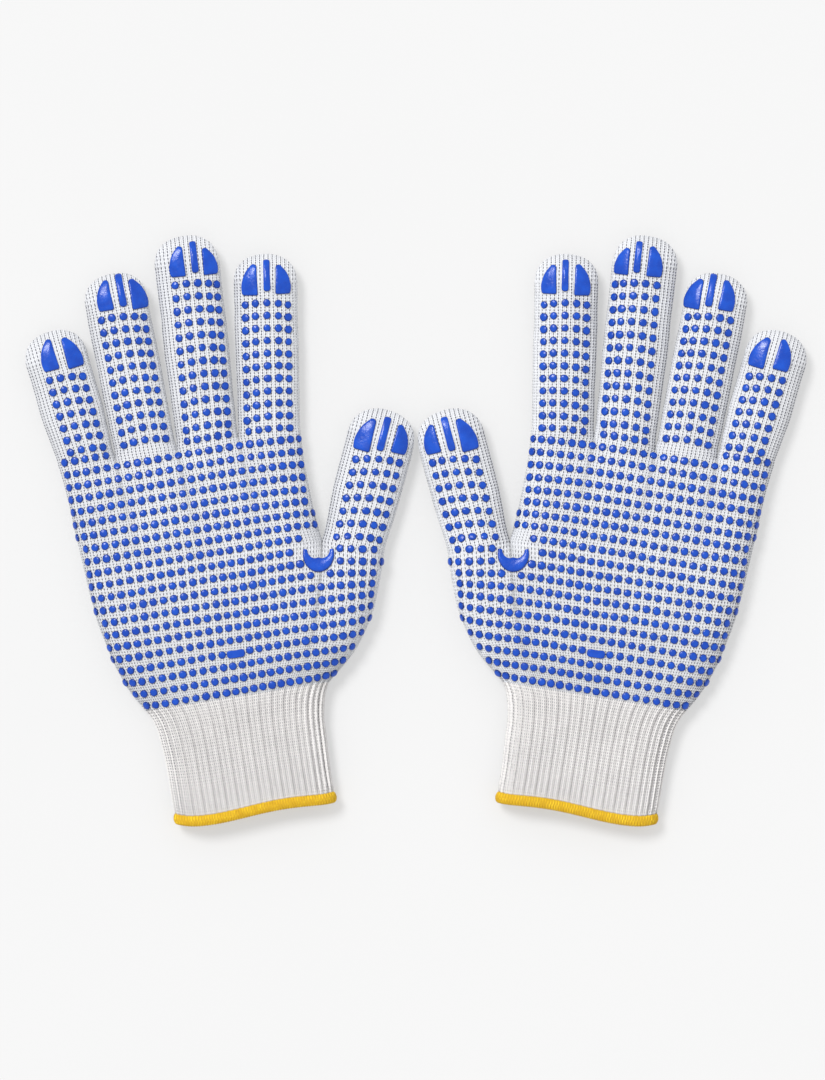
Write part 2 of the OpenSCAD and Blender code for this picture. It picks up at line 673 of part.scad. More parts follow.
for (side = SIDES) {
    color(knit_colour) glove(side) palm_knit();
    color(print_colour) glove(side) palm_dots();
    color(print_colour) glove(side) palm_bar();
    color(print_colour) glove(side) thumb_crotch_patch();
    color(rib_colour) glove(side) cuff_rib_knit();
    color(elastic_colour) glove(side) cuff_elastic_threads();
    color(hem_colour) glove(side) cuff_hem();
    for (name = DIGITS) {
        digit = digit_named(name);
        color(knit_colour) glove(side) base_knit(digit);
        color(print_colour) glove(side) base_dots(digit);
        color(knit_colour) glove(side) tip_knit(digit);
        color(print_colour) glove(side) tip_dots(digit);
    }
}
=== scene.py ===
"""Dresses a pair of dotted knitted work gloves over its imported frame.

The knit, the ribs, the overlocked hems and the printed grip dots are modelled here.
Lengths in the panels are in metres. Inside the functions that shape the knit they are
in millimetres from the middle of the right-hand glove's wrist, with X towards the
thumb, Y towards the fingertips and Z out of the palm.
"""
import json
import math

import bpy
import numpy as np
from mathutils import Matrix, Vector
from mathutils.bvhtree import BVHTree


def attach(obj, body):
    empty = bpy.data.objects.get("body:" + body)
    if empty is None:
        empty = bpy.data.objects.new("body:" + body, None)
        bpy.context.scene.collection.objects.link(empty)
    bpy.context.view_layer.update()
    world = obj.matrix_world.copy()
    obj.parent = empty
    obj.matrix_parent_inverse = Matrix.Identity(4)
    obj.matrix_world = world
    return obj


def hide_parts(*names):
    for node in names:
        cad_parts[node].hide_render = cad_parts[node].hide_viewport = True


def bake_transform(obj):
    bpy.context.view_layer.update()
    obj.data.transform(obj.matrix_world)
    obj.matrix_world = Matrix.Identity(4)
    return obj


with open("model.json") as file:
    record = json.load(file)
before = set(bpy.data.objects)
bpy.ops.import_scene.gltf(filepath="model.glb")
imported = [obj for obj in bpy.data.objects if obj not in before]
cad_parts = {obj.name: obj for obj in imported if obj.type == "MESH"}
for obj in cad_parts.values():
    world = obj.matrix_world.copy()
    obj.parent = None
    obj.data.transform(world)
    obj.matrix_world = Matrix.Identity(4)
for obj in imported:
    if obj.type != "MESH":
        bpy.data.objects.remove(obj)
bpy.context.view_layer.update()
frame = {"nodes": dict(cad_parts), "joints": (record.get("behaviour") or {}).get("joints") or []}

bl_info = {
    "name": "Dotted knitted work gloves",
    "version": (1, 0, 0),
    "blender": (4, 5, 0),
    "location": "View3D > Sidebar > Gloves",
    "description": "Builds the knit, ribs, hems and grip dots of a pair of work gloves",
    "category": "Add Mesh",
}

MM = 0.001
SIDES = ("right", "left")
FINGERS = ("little", "ring", "middle", "index")
DIGITS = FINGERS + ("thumb",)
MIDDLE_JOINT = {name: "middle_knuckle" for name in FINGERS} | {"thumb": "end_knuckle"}
COLUMNS_PER_WALE = 4
ROWS_PER_COURSE = 3
WALES_PER_DIGIT = 18
DIGIT_COLUMNS = COLUMNS_PER_WALE * WALES_PER_DIGIT


# ---- Sizes and colours that a user would change ----

class KnitSettings(bpy.types.PropertyGroup):
    """The knitted shells."""

    course: bpy.props.FloatProperty(
        name="Course height", description="Height of one row of stitches",
        default=1.2 * MM, min=0.8 * MM, max=2 * MM, unit="LENGTH")
    stitch_depth: bpy.props.FloatProperty(
        name="Stitch depth", description="Depth of the grooves between the stitches",
        default=0.42 * MM, min=0, max=0.8 * MM, unit="LENGTH")
    puff: bpy.props.FloatProperty(
        name="Palm puff", description="Extra height of the palm over the fingers",
        default=2.4 * MM, min=0, max=5 * MM, unit="LENGTH")
    finger_widths: bpy.props.FloatVectorProperty(
        name="Finger widths", description="Widths at the webs, little finger to index, then thumb",
        size=5, default=[w * MM for w in (23, 25.3, 25.3, 25.5, 25.3)], unit="LENGTH")
    tip_widths: bpy.props.FloatVectorProperty(
        name="Tip widths", description="Widths near the tips, little finger to index, then thumb",
        size=5, default=[w * MM for w in (25.2, 25.4, 26.1, 25.6, 27.4)], unit="LENGTH")
    finger_lengths: bpy.props.FloatVectorProperty(
        name="Finger lengths", description="Web to tip, little finger to index, then thumb",
        size=5, default=[w * MM for w in (55.2, 74, 84.3, 73.5, 57.3)], unit="LENGTH")
    colour: bpy.props.FloatVectorProperty(
        name="Yarn colour", description="Bleached cotton yarn", subtype="COLOR", size=4,
        default=(0.82, 0.835, 0.87, 1), min=0, max=1)
    # Painted shade: this colour is mixed into the knit in the holes and grooves between the stitches, where
    # shade falls.
    shade: bpy.props.FloatVectorProperty(
        name="Gap colour", description="Colour in the gaps between the stitches", subtype="COLOR",
        size=4, default=(0.14, 0.14, 0.17, 1), min=0, max=1)


class CuffSettings(bpy.types.PropertyGroup):
    """The rib cuffs and their hems."""

    rib_depth: bpy.props.FloatProperty(
        name="Rib depth", description="Depth of the grooves between the ribs",
        default=1.0 * MM, min=0, max=2 * MM, unit="LENGTH")
    knit_colour: bpy.props.FloatVectorProperty(
        name="Rib colour", description="Yarn of the ribs", subtype="COLOR", size=4,
        default=(0.97, 0.945, 0.93, 1), min=0, max=1)
    hem_height: bpy.props.FloatProperty(
        name="Hem height", description="Height of the overlocked hem",
        default=4.4 * MM, min=2 * MM, max=8 * MM, unit="LENGTH")
    hem_colour: bpy.props.FloatVectorProperty(
        name="Hem colour", description="Overlock yarn", subtype="COLOR", size=4,
        default=(0.97, 0.71, 0.026, 1), min=0, max=1)


class PrintSettings(bpy.types.PropertyGroup):
    """The printed grip dots and patches."""

    dot_diameter: bpy.props.FloatProperty(
        name="Dot diameter", description="Width of one dot",
        default=3.2 * MM, min=2 * MM, max=4 * MM, unit="LENGTH")
    dot_height: bpy.props.FloatProperty(
        name="Dot height", description="Height of a dot above the knit",
        default=0.85 * MM, min=0.3 * MM, max=1.5 * MM, unit="LENGTH")
    pitch_across: bpy.props.FloatProperty(
        name="Pitch across", description="Distance between dots across the hand",
        default=4.21 * MM, min=3 * MM, max=6 * MM, unit="LENGTH")
    pitch_along: bpy.props.FloatProperty(
        name="Pitch along", description="Distance between dots along the hand",
        default=5.22 * MM, min=4 * MM, max=7 * MM, unit="LENGTH")
    colour: bpy.props.FloatVectorProperty(
        name="Print colour", description="Blue vinyl", subtype="COLOR", size=4,
        default=(0.002, 0.05, 0.40, 1), min=0, max=1)


class StageSettings(bpy.types.PropertyGroup):
    """Camera, light and floor."""

    focal_length: bpy.props.FloatProperty(
        name="Focal length", description="Lens of the camera, in millimetres",
        default=200, min=35, max=300)
    sky: bpy.props.FloatProperty(
        name="Sky", description="Strength of the even light from all around", default=0.82, min=0)
    sun: bpy.props.FloatProperty(
        name="Sun", description="Strength of the soft light from the upper left", default=2.1, min=0)
    view_height: bpy.props.FloatProperty(
        name="View height", description="Length of floor that the picture's height takes in",
        default=437 * MM, min=0.1, max=2, unit="LENGTH")


# ---- Small helpers ----

def turned(length, degrees):
    angle = math.radians(degrees)
    return np.array([length * math.cos(angle), length * math.sin(angle)])


def mix(a, b, t):
    return a + (b - a) * t


def smooth(t):
    t = np.clip(t, 0, 1)
    return t * t * (3 - 2 * t)


def cubic(a, b, c, d, t):
    t = np.asarray(t, float)[..., None]
    return (1 - t) ** 3 * a + 3 * (1 - t) ** 2 * t * b + 3 * (1 - t) * t ** 2 * c + t ** 3 * d


def round_share(distance, width):
    """Height of a rounded border at a distance from its fold, as a share of the full height."""
    return np.sqrt(1 - (1 - np.clip(distance, 0, width) / width) ** 2)


def length_along(x, z):
    """Length of a line up to each of its points."""
    return np.concatenate([[0], np.cumsum(np.hypot(np.diff(x), np.diff(z)))])


def even_cuts(count, values, x, z):
    """Values that run along a line, taken where the line is cut into equal lengths."""
    along = length_along(x, z)
    return np.interp(np.linspace(0, along[-1], count + 1), along, values)


def grid_faces(rows, cols):
    """Quads between the points of a grid."""
    at = np.arange(rows * cols).reshape(rows, cols)
    return np.stack([at[:-1, :-1], at[:-1, 1:], at[1:, 1:], at[1:, :-1]], axis=-1).reshape(-1, 4)


def nearest_on_lines(plan, lines):
    """Distances from points to the nearest of several lines, and the nearest points on them."""
    gap = np.full(len(plan), 1e9)
    nearest = np.zeros_like(plan)
    for line in lines:
        for a, b in zip(line[:-1], line[1:]):
            run = b - a
            share = np.clip((plan - a) @ run / (run @ run), 0, 1)
            spot = a + share[:, None] * run
            away = np.linalg.norm(plan - spot, axis=1)
            nearest[away < gap] = spot[away < gap]
            gap = np.minimum(gap, away)
    return gap, nearest


def ripple(points, seed, wavelength):
    """Smooth unevenness between -1 and 1 at points, the same on every run."""
    rng = np.random.default_rng(seed)
    total = np.zeros(len(points))
    waves = 7
    for _ in range(waves):
        direction = rng.normal(size=3)
        direction /= np.linalg.norm(direction)
        length = wavelength * rng.uniform(0.7, 1.6)
        total += np.sin(points @ direction * 2 * math.pi / length + rng.uniform(0, 2 * math.pi))
    return total / waves * 1.6


# ---- Shape of the right-hand glove ----

WEB_SLOPES = {"little": 11.3, "ring": 7.3, "middle": 12.1, "index": 1.8, "thumb": -11.2}
WEB_CLEARANCE = 0.35
WEB_CLEARANCE_RUN = 4
CAP_SHARE = 0.95
CAP_POWER = 2.3
CAP_ARC = 1.25
TIP_END_SHARE = 0.02
TUBE_FLATNESS = 2.03
KNIT_SPLIT = 0.62
WRIST_WIDTH = 75
WRIST_SPAN = 85
CROTCH_SPAN = 105
CUFF_WIDTH = 64.4
CUFF_LEAN = 9
CUFF_LENGTH = 48.9
CUFF_ROUND = 10
CUFF_THINNING = 0.9
HEM_COVER = 4.4
SIDE_BREAK = 0.6
PALM_ROUND = 13
BACK_ROUND = 9
KNIT_WALL = 1.3
THUMB_SHARE = 0.2
LOW_COURSES = 48
HIGH_COURSES = 38
WALES_PER_RIB = 3
# How far a stitch's two legs climb from its middle to its sides, in courses.
STITCH_SLANT = 0.45
# The relief is taken from this share of a stitch's height, so that the yarn stands proud.
STITCH_ZERO = 0.6
FLOOR_CLEARANCE = 0.02
# The curved sides of the palm: how far their handles stand from their two ends.
HAND_SIDE_HANDLES = ([-22.9, 23.9], [10.1, -32.3])
THUMB_SIDE_HANDLES = ([10.7, 11], [-2.6, -30])
INDEX_SIDE_HANDLES = ([-1.2, 0], [-1.5, 0])


class Digit:
    """One finger or the thumb: its place, lean and sizes."""

    def __init__(self, hand, name, rank, settings):
        joint = hand.joints[f"right_{name}_base_knuckle"]
        bend = hand.joints[f"right_{name}_{MIDDLE_JOINT[name]}"]
        self.name = name
        self.middle = np.array(joint["pos_m"][:2]) / MM - hand.wrist
        self.across = np.array(joint["axis"][:2], float)
        self.along = np.array([-self.across[1], self.across[0]])
        self.base_length = np.linalg.norm(np.subtract(bend["pos_m"], joint["pos_m"])) / MM
        self.lean = math.degrees(math.atan2(self.along[0], self.along[1]))
        self.slope = WEB_SLOPES[name]
        self.web_width = settings.finger_widths[rank] / MM
        self.tip_half = settings.tip_widths[rank] / MM / 2
        self.length = settings.finger_lengths[rank] / MM
        self.cap = self.tip_half * CAP_SHARE
        self.web_left = self.middle - turned(self.web_width / 2, self.slope)
        self.web_right = self.middle + turned(self.web_width / 2, self.slope)
        self.height = hand.fold_z

    def half_width(self, s):
        """Half of the width at a distance from the web line. It steps clear of its neighbour."""
        clear = WEB_CLEARANCE * smooth(np.asarray(s) / WEB_CLEARANCE_RUN)
        return mix(self.web_width / 2 - clear, self.tip_half, np.clip(s / self.base_length, 0, 1))

    def point(self, x, s, z):
        plan = self.middle + np.multiply.outer(x, self.across) + np.multiply.outer(s, self.along)
        return np.concatenate([plan, np.asarray(z)[..., None]], axis=-1)


class Hand:
    """Outline and heights of the right-hand glove."""

    def __init__(self, settings):
        self.joints = {joint["name"]: joint for joint in frame["joints"]}
        fold = self.joints["right_wrist_fold"]
        self.wrist = np.array(fold["pos_m"][:2]) / MM
        self.fold_z = fold["pos_m"][2] / MM / 2
        self.puff = settings.puff / MM
        self.course = settings.course / MM
        self.stitch_depth = settings.stitch_depth / MM
        self.digits = {name: Digit(self, name, rank, settings) for rank, name in enumerate(DIGITS)}
        fingers = [self.digits[name] for name in FINGERS]
        self.webs = np.array([fingers[0].web_left] + [finger.web_right for finger in fingers])
        thumb = self.digits["thumb"]
        self.crotch = thumb.web_left
        self.thumb_outside = thumb.web_right
        self.wrist_left = turned(-WRIST_WIDTH / 2, CUFF_LEAN)
        self.wrist_right = turned(WRIST_WIDTH / 2, CUFF_LEAN)
        self.length = float(np.linalg.norm((self.webs[0] + self.webs[4]) / 2))
        steps = np.linspace(0, 1, 25)
        self.folds = [self.hand_side(steps), self.thumb_side(steps), self.index_side(steps)]
        # Angles round half of a flattened tube that cut it into columns of even width.
        angles = np.linspace(0, math.pi, 181)
        self.round_angles = even_cuts(
            DIGIT_COLUMNS, angles, -TUBE_FLATNESS * np.cos(angles), np.sin(angles))

    def hand_side(self, t):
        start, end = HAND_SIDE_HANDLES
        return cubic(self.wrist_left, self.wrist_left + start, self.webs[0] + end, self.webs[0], t)

    def thumb_side(self, t):
        start, end = THUMB_SIDE_HANDLES
        return cubic(self.wrist_right, self.wrist_right + start,
                     self.thumb_outside + end, self.thumb_outside, t)

    def index_side(self, t):
        start, end = INDEX_SIDE_HANDLES
        return cubic(self.crotch, mix(self.crotch, self.webs[4], 0.3) + start,
                     mix(self.crotch, self.webs[4], 0.7) + end, self.webs[4], t)

    def to_fold(self, plan):
        """Distance from points to the nearest fold or web."""
        gap, _ = nearest_on_lines(plan, self.folds)
        for web in self.webs[1:4]:
            gap = np.minimum(gap, np.linalg.norm(plan - web, axis=1))
        return gap

    def full_height(self, plan):
        """Height of the palm over its fold, which puffs up between the wrist and the knuckles."""
        below_wrist, longer = 6, 2
        rise = np.clip((plan[:, 1] + below_wrist) / (self.length + longer), 0, 1)
        return self.fold_z + self.puff * np.sin(math.pi * rise)

    def palm_heights(self, plan, inset=0):
        """Heights of the palm's front and back at points."""
        gap = self.to_fold(plan)
        front = (self.full_height(plan) - inset) * round_share(gap - inset, PALM_ROUND - inset)
        back = (self.fold_z - inset) * round_share(gap - inset, BACK_ROUND - inset)
        return self.fold_z + front, self.fold_z - back


def palm_plan(hand, rows_low, rows_high, per_wale):
    """Plan positions of the palm's grid: the low block up to the thumb crotch, and the high block."""
    lobe = per_wale * WALES_PER_DIGIT
    palm_cols = 4 * lobe
    all_cols = 5 * lobe
    angles = np.interp(np.linspace(0, 1, lobe + 1), np.linspace(0, 1, len(hand.round_angles)),
                       hand.round_angles)
    digit_share = (1 - np.cos(angles)) / 2
    border = np.linspace(0, 1, 400)
    reach = np.minimum(border, 1 - border)

    def edge_shares(count, width):
        # Even spacing over a flattened tube: close at both folds.
        height = (hand.fold_z + hand.puff / 2) * round_share(reach * width, PALM_ROUND)
        return even_cuts(count, border * width, border * width, height) / width

    wrist_shares = edge_shares(all_cols, WRIST_SPAN)
    crotch_shares = edge_shares(palm_cols, CROTCH_SPAN)
    lobe_shares = np.concatenate([[0]] + [k / 4 + digit_share[1:] / 4 for k in range(4)])
    knuckles = np.concatenate(
        [hand.webs[:1]] + [hand.webs[k] + np.outer(digit_share[1:], hand.webs[k + 1] - hand.webs[k])
                           for k in range(4)])
    side = hand.hand_side(np.array([SIDE_BREAK]))[0]
    crotch_row = np.concatenate([
        side + np.outer(crotch_shares, hand.crotch - side),
        hand.crotch + np.outer(digit_share[1:], hand.thumb_outside - hand.crotch)])
    wrist_row = hand.wrist_left + np.outer(wrist_shares, hand.wrist_right - hand.wrist_left)

    def patch(low, high, left, right, shares_low, shares_high, v):
        v3 = v[:, None, None]
        shares = shares_low + (shares_high - shares_low) * smooth(v)[:, None]
        left_step = left - mix(left[0], left[-1], v[:, None])
        right_step = right - mix(right[0], right[-1], v[:, None])
        return (mix(low[None], high[None], v3) + (1 - shares)[..., None] * left_step[:, None]
                + shares[..., None] * right_step[:, None])

    v = np.linspace(0, 1, rows_low + 1)
    palm_share = 1 - THUMB_SHARE
    cross = np.concatenate([crotch_shares * palm_share, palm_share + digit_share[1:] * THUMB_SHARE])
    low = patch(wrist_row, crotch_row, hand.hand_side(v * SIDE_BREAK), hand.thumb_side(v),
                wrist_shares, cross, v)
    v = np.linspace(0, 1, rows_high + 1)
    high = patch(crotch_row[:palm_cols + 1], knuckles, hand.hand_side(mix(SIDE_BREAK, 1, v)),
                 hand.index_side(v), crotch_shares, lobe_shares, v)
    return low, high


# ---- Sheets of stitches ----

class Sheet:
    """A grid of points with a wale and a course number at each."""

    def __init__(self, points, wales, courses):
        rows, cols = points.shape[:2]
        self.shape = (rows, cols)
        self.points = points.reshape(-1, 3)
        self.stitches = np.stack(np.broadcast_arrays(wales, courses), axis=-1).reshape(-1, 2)
        self.faces = grid_faces(rows, cols)
        self.normals = None
        self.relief = None

    def row(self, index):
        """Points of one row."""
        return self.points.reshape(*self.shape, 3)[index]

    def rows(self, first, last):
        """The part of the sheet between two of its rows."""
        rows, cols = self.shape
        keep = slice(first, last + 1)
        stitches = self.stitches.reshape(rows, cols, 2)[keep]
        part = Sheet(self.points.reshape(rows, cols, 3)[keep], stitches[..., 0], stitches[..., 1])
        part.normals = self.normals.reshape(rows, cols, 3)[keep].reshape(-1, 3)
        return part


def welded(points):
    """Numbers of the distinct points, and for each point the number of its own."""
    keys = np.round(points * 500).astype(np.int64)
    _, first, number = np.unique(keys, axis=0, return_index=True, return_inverse=True)
    return first, number.reshape(-1)


def set_normals(sheets):
    """Gives every sheet smooth normals that agree where sheets meet."""
    points = np.concatenate([sheet.points for sheet in sheets])
    starts = np.cumsum([0] + [len(sheet.points) for sheet in sheets])
    faces = np.concatenate([sheet.faces + start for sheet, start in zip(sheets, starts)])
    first, number = welded(points)
    corners = points[faces]
    facing = np.cross(corners[:, 2] - corners[:, 0], corners[:, 3] - corners[:, 1])
    total = np.zeros((len(first), 3))
    for k in range(4):
        for axis in range(3):
            total[:, axis] += np.bincount(number[faces[:, k]], facing[:, axis], len(first))
    total /= np.maximum(np.linalg.norm(total, axis=1), 1e-9)[:, None]
    for sheet, start in zip(sheets, starts):
        sheet.normals = total[number[start:start + len(sheet.points)]]


def stitch_relief(stitches):
    """Height of the V-shaped stitches, between 0 in the gaps and 1 on the yarn."""
    wale, course = stitches[:, 0], stitches[:, 1]
    across = np.abs(2 * (wale - np.floor(wale)) - 1)
    inset, beat_share = 0.08, 0.28
    leg = np.sin(math.pi * (inset + 0.84 * across)) ** 0.8
    beat = np.cos(2 * math.pi * (course - STITCH_SLANT * across))
    return leg * (1 - beat_share + beat_share * beat)


def unevenness(points):
    """Soft lumps of the shells, in millimetres."""
    broad, fine = 0.16, 0.07
    return (broad * ripple(points, seed=3, wavelength=26)
            + fine * ripple(points, seed=5, wavelength=9))


class Ground:
    """The smooth top of the knit, for print to stand on."""

    def __init__(self, sheets):
        points, faces, start = [], [], 0
        for sheet in sheets:
            lifted = sheet.points + sheet.normals * unevenness(sheet.points)[:, None]
            coarse = lifted.reshape(*sheet.shape, 3)[::ROWS_PER_COURSE, ::2]
            points.append(coarse.reshape(-1, 3))
            faces.append(grid_faces(*coarse.shape[:2]) + start)
            start += len(points[-1])
        self.tree = BVHTree.FromPolygons(
            np.concatenate(points).tolist(), np.concatenate(faces).tolist())

    def touch(self, plan):
        """Points on the knit straight below a plan, and the knit's normals there."""
        spots, normals = [], []
        for x, y in plan:
            hit, normal, _, _ = self.tree.ray_cast(Vector((x, y, 40)), Vector((0, 0, -1)))
            if hit is None:
                hit, normal, _, _ = self.tree.find_nearest(Vector((x, y, 10)))
            spots.append(hit[:])
            normals.append((normal if normal.z > 0 else -normal)[:])
        return np.array(spots), np.array(normals)


BUILT = {}


def palm_sheets(hand):
    rows_low = LOW_COURSES * ROWS_PER_COURSE
    rows_high = HIGH_COURSES * ROWS_PER_COURSE
    sheets = {"front": [], "back": []}
    for block, plan in enumerate(palm_plan(hand, rows_low, rows_high, COLUMNS_PER_WALE)):
        rows, cols = plan.shape[:2]
        front, back = hand.palm_heights(plan.reshape(-1, 2))
        courses = (np.arange(rows) / ROWS_PER_COURSE + block * LOW_COURSES)[:, None]
        wales = (np.arange(cols) / COLUMNS_PER_WALE)[None]
        upper = np.concatenate([plan, front.reshape(rows, cols, 1)], axis=-1)
        lower = np.concatenate([plan, back.reshape(rows, cols, 1)], axis=-1)
        sheets["front"].append(Sheet(upper, wales, courses))
        sheets["back"].append(Sheet(lower[:, ::-1], wales[:, ::-1], courses))
    return sheets


def ring_rows(front, back):
    """One ring from a front row that runs left to right and a back row that runs right to left."""
    return np.concatenate([front, back[..., 1:, :]], axis=-2)


def digit_sheet(hand, digit, first_front, first_back):
    """A finger or the thumb as one sheet of rings, which starts on the palm's last row."""
    angles = hand.round_angles
    step = hand.course / ROWS_PER_COURSE
    shoulder = digit.length - digit.cap
    cap_arc = digit.cap * CAP_ARC
    body = np.linspace(0, shoulder, int(round(shoulder / step)) + 1)
    turn = np.linspace(0, math.pi / 2, int(round(cap_arc / step)) + 1)[1:]
    arcs = np.concatenate([body, shoulder + cap_arc * turn / (math.pi / 2)])
    s = np.concatenate([body, shoulder + digit.cap * np.sin(turn) ** (2 / CAP_POWER)])
    share = np.concatenate([np.ones(len(body)), np.maximum(np.cos(turn), 0) ** (2 / CAP_POWER)])
    share[-1] = TIP_END_SHARE
    half = digit.half_width(s)
    tilt = math.tan(math.radians(digit.slope + digit.lean))
    x = np.outer(half * share, -np.cos(angles))
    shear = tilt * np.clip(1 - s / (digit.base_length / 2), 0, 1)
    s_grid = s[:, None] + x * shear[:, None]
    fade = smooth(s / 10)[:, None]
    round_z = digit.height * share[:, None] * np.sin(angles)[None]
    front_z = mix(first_front[None, :, 2] - hand.fold_z, round_z, fade)
    back_z = mix(first_back[None, :, 2] - hand.fold_z, -round_z[:, ::-1], fade)
    front = digit.point(x, s_grid, hand.fold_z + front_z)
    back = digit.point(x[:, ::-1], s_grid[:, ::-1], hand.fold_z + back_z)
    points = ring_rows(front, back)
    points[0] = ring_rows(first_front, first_back)
    # On the rounded tip the wales stay parallel and run off the edge.
    plan_angle = np.arccos(np.clip(-x / half[:, None], -1, 1))
    wales = np.interp(plan_angle, angles, np.arange(DIGIT_COLUMNS + 1) / COLUMNS_PER_WALE)
    wales = np.concatenate([wales, 2 * WALES_PER_DIGIT - wales[:, ::-1][:, 1:]], axis=1)
    return Sheet(points, wales, (arcs / hand.course)[:, None])


def cuff_half(s):
    """Half of the cuff's width, which flares out to the wrist's."""
    return CUFF_WIDTH / 2 + (WRIST_WIDTH - CUFF_WIDTH) / 2 * np.exp(-s / 7)


def cuff_height(hand, s):
    return mix(hand.fold_z, hand.fold_z - CUFF_THINNING, np.clip(s / (CUFF_LENGTH - HEM_COVER), 0, 1))


def cuff_point(x, s, z):
    across = turned(1, CUFF_LEAN)
    along = turned(1, CUFF_LEAN - 90)
    plan = np.multiply.outer(x, across) + np.multiply.outer(s, along)
    return np.concatenate([plan, np.asarray(z)[..., None]], axis=-1)


def cuff_droop(x, s):
    """How far the cuff's end rides up at its two edges, and waves between them."""
    start, little_rise, thumb_rise, wave_rise, wave_phase = 10, 2.2, 0.8, 0.9, 0.4
    reach = smooth((s - start) / (CUFF_LENGTH - start))
    little_edge = np.minimum(np.exp(-(x + CUFF_WIDTH / 2) / 5), 1)
    thumb_edge = np.minimum(np.exp(-(CUFF_WIDTH / 2 - x) / 3), 1)
    wave = np.sin((x / CUFF_WIDTH + 0.5) * 2 * math.pi + wave_phase)
    return -reach * (little_rise * little_edge + thumb_rise * thumb_edge - wave_rise * wave)


def cuff_sheet(hand, wrist_front, wrist_back, shares):
    """The cuff as rings from the hem up to the wrist, where it takes over the palm's first row."""
    step = hand.course / ROWS_PER_COURSE
    end = CUFF_LENGTH - 1.4
    s = np.linspace(end, 0, int(round(end / step)) + 1)
    x = np.outer(cuff_half(s), 2 * shares - 1)
    height = cuff_height(hand, s)[:, None] * round_share(cuff_half(s)[:, None] - np.abs(x), CUFF_ROUND)
    fade = smooth(s / 12)[:, None]
    s_grid = s[:, None] + cuff_droop(x, s[:, None])
    front_z = mix(wrist_front[None, :, 2] - hand.fold_z, height, fade)
    back_z = mix(wrist_back[None, :, 2] - hand.fold_z, -height[:, ::-1], fade)
    front = cuff_point(x, s_grid, hand.fold_z + front_z)
    back = cuff_point(x[:, ::-1], s_grid[:, ::-1], hand.fold_z + back_z)
    points = ring_rows(front, back)
    points[-1] = ring_rows(wrist_front, wrist_back)
    wales = np.arange(points.shape[1])[None] / COLUMNS_PER_WALE
    return Sheet(points, wales, (-s / hand.course)[:, None]), s


def rib_relief(wales):
    """Ribs of three wales, with every second groove between them deeper."""
    turn = 2 * math.pi * wales / WALES_PER_RIB
    rib = (0.5 + 0.5 * np.cos(turn)) ** 0.75
    return rib - 0.3 * (1 - rib) * np.sin(turn / 2) - 0.45


# ---- Meshes ----

def place(points, hand, side):
    """Millimetres from the right-hand glove's wrist to metres in the frame, on one side."""
    placed = np.array(points, float)
    placed[..., :2] += hand.wrist
    if side == "left":
        placed[..., 0] *= -1
    return placed * MM


def sheet_object(name, sheets, side, hand, material):
    """One object from several finished sheets. Left-hand ones are mirrored and turned back."""
    starts = np.cumsum([0] + [len(sheet.points) for sheet in sheets])
    points, stitches, normals = (
        np.concatenate([getattr(sheet, part) for sheet in sheets])
        for part in ("points", "stitches", "normals"))
    faces = np.concatenate([sheet.faces + start for sheet, start in zip(sheets, starts)])
    first, number = welded(points)
    # A quad with two neighbouring corners in one spot is left out.
    faces = faces[(number[faces] != number[np.roll(faces, 1, axis=1)]).all(axis=1)]
    if side == "left":
        faces = faces[:, ::-1]
    verts = place(points[first], hand, side)
    mesh = bpy.data.meshes.new(name)
    mesh.vertices.add(len(verts))
    mesh.vertices.foreach_set("co", verts.ravel())
    mesh.loops.add(faces.size)
    mesh.loops.foreach_set("vertex_index", number[faces].ravel().astype(np.int32))
    mesh.polygons.add(len(faces))
    mesh.polygons.foreach_set("loop_start", np.arange(0, faces.size, 4, dtype=np.int32))
    mesh.polygons.foreach_set("use_smooth", np.ones(len(faces), bool))
    mesh.update(calc_edges=True)
    layer = mesh.uv_layers.new(name="stitches")
    layer.data.foreach_set("uv", stitches[faces].ravel().astype(np.float32))
    facing = np.array(normals[first], float)
    if side == "left":
        facing[:, 0] *= -1
    mesh.normals_split_custom_set_from_vertices(facing)
    return linked(name, mesh, material)


def linked(name, mesh, material):
    mesh.materials.append(material)
    made = bpy.data.objects.new(name, mesh)
    bpy.context.scene.collection.objects.link(made)
    return made


def along_digit(hand, digit, s, side):
    """A point of the frame on a digit's middle line, at the height of its pivots."""
    spot = digit.point(np.array(0.0), np.array(float(s)), np.array(2 * hand.fold_z))
    return Vector(place(spot, hand, side))


BEND_START = 1.2
BEND_LENGTH = 10
WRIST_BEND = (0.6, 11.0)


def bend_at_base(piece, hand, digit, side):
    along_digit(hand, digit, BEND_START, side)
    along_digit(hand, digit, BEND_LENGTH, side)
    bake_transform(piece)


def bend_at_middle(piece, hand, digit, side):
    along_digit(hand, digit, digit.base_length, side)
    along_digit(hand, digit, digit.base_length + BEND_LENGTH, side)
    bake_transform(piece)


def bend_at_wrist(piece, hand, side):
    start, end = (cuff_point(np.array(0.0), np.array(s), np.array(2 * hand.fold_z))
                  for s in WRIST_BEND)
    Vector(place(start, hand, side))
    Vector(place(end, hand, side))
    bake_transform(piece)


# ---- Materials ----

def new_material(name, colour, roughness):
    made = bpy.data.materials.new(name)
    made.use_nodes = True
    shader = made.node_tree.nodes["Principled BSDF"]
    shader.inputs["Base Color"].default_value = colour
    shader.inputs["Roughness"].default_value = roughness
    return made, made.node_tree, shader


def math_node(tree, operation, first, second=None, third=None):
    node = tree.nodes.new("ShaderNodeMath")
    node.operation = operation
    for socket, value in zip(node.inputs, (first, second, third)):
        if value is None:
            continue
        if isinstance(value, (int, float)):
            socket.default_value = value
        else:
            tree.links.new(value, socket)
    return node.outputs[0]


def range_node(tree, value, low, high, to_low=0.0, to_high=1.0):
    node = tree.nodes.new("ShaderNodeMapRange")
    node.interpolation_type = "SMOOTHSTEP"
    tree.links.new(value, node.inputs["Value"])
    node.inputs["From Min"].default_value = low
    node.inputs["From Max"].default_value = high
    node.inputs["To Min"].default_value = to_low
    node.inputs["To Max"].default_value = to_high
    return node.outputs["Result"]


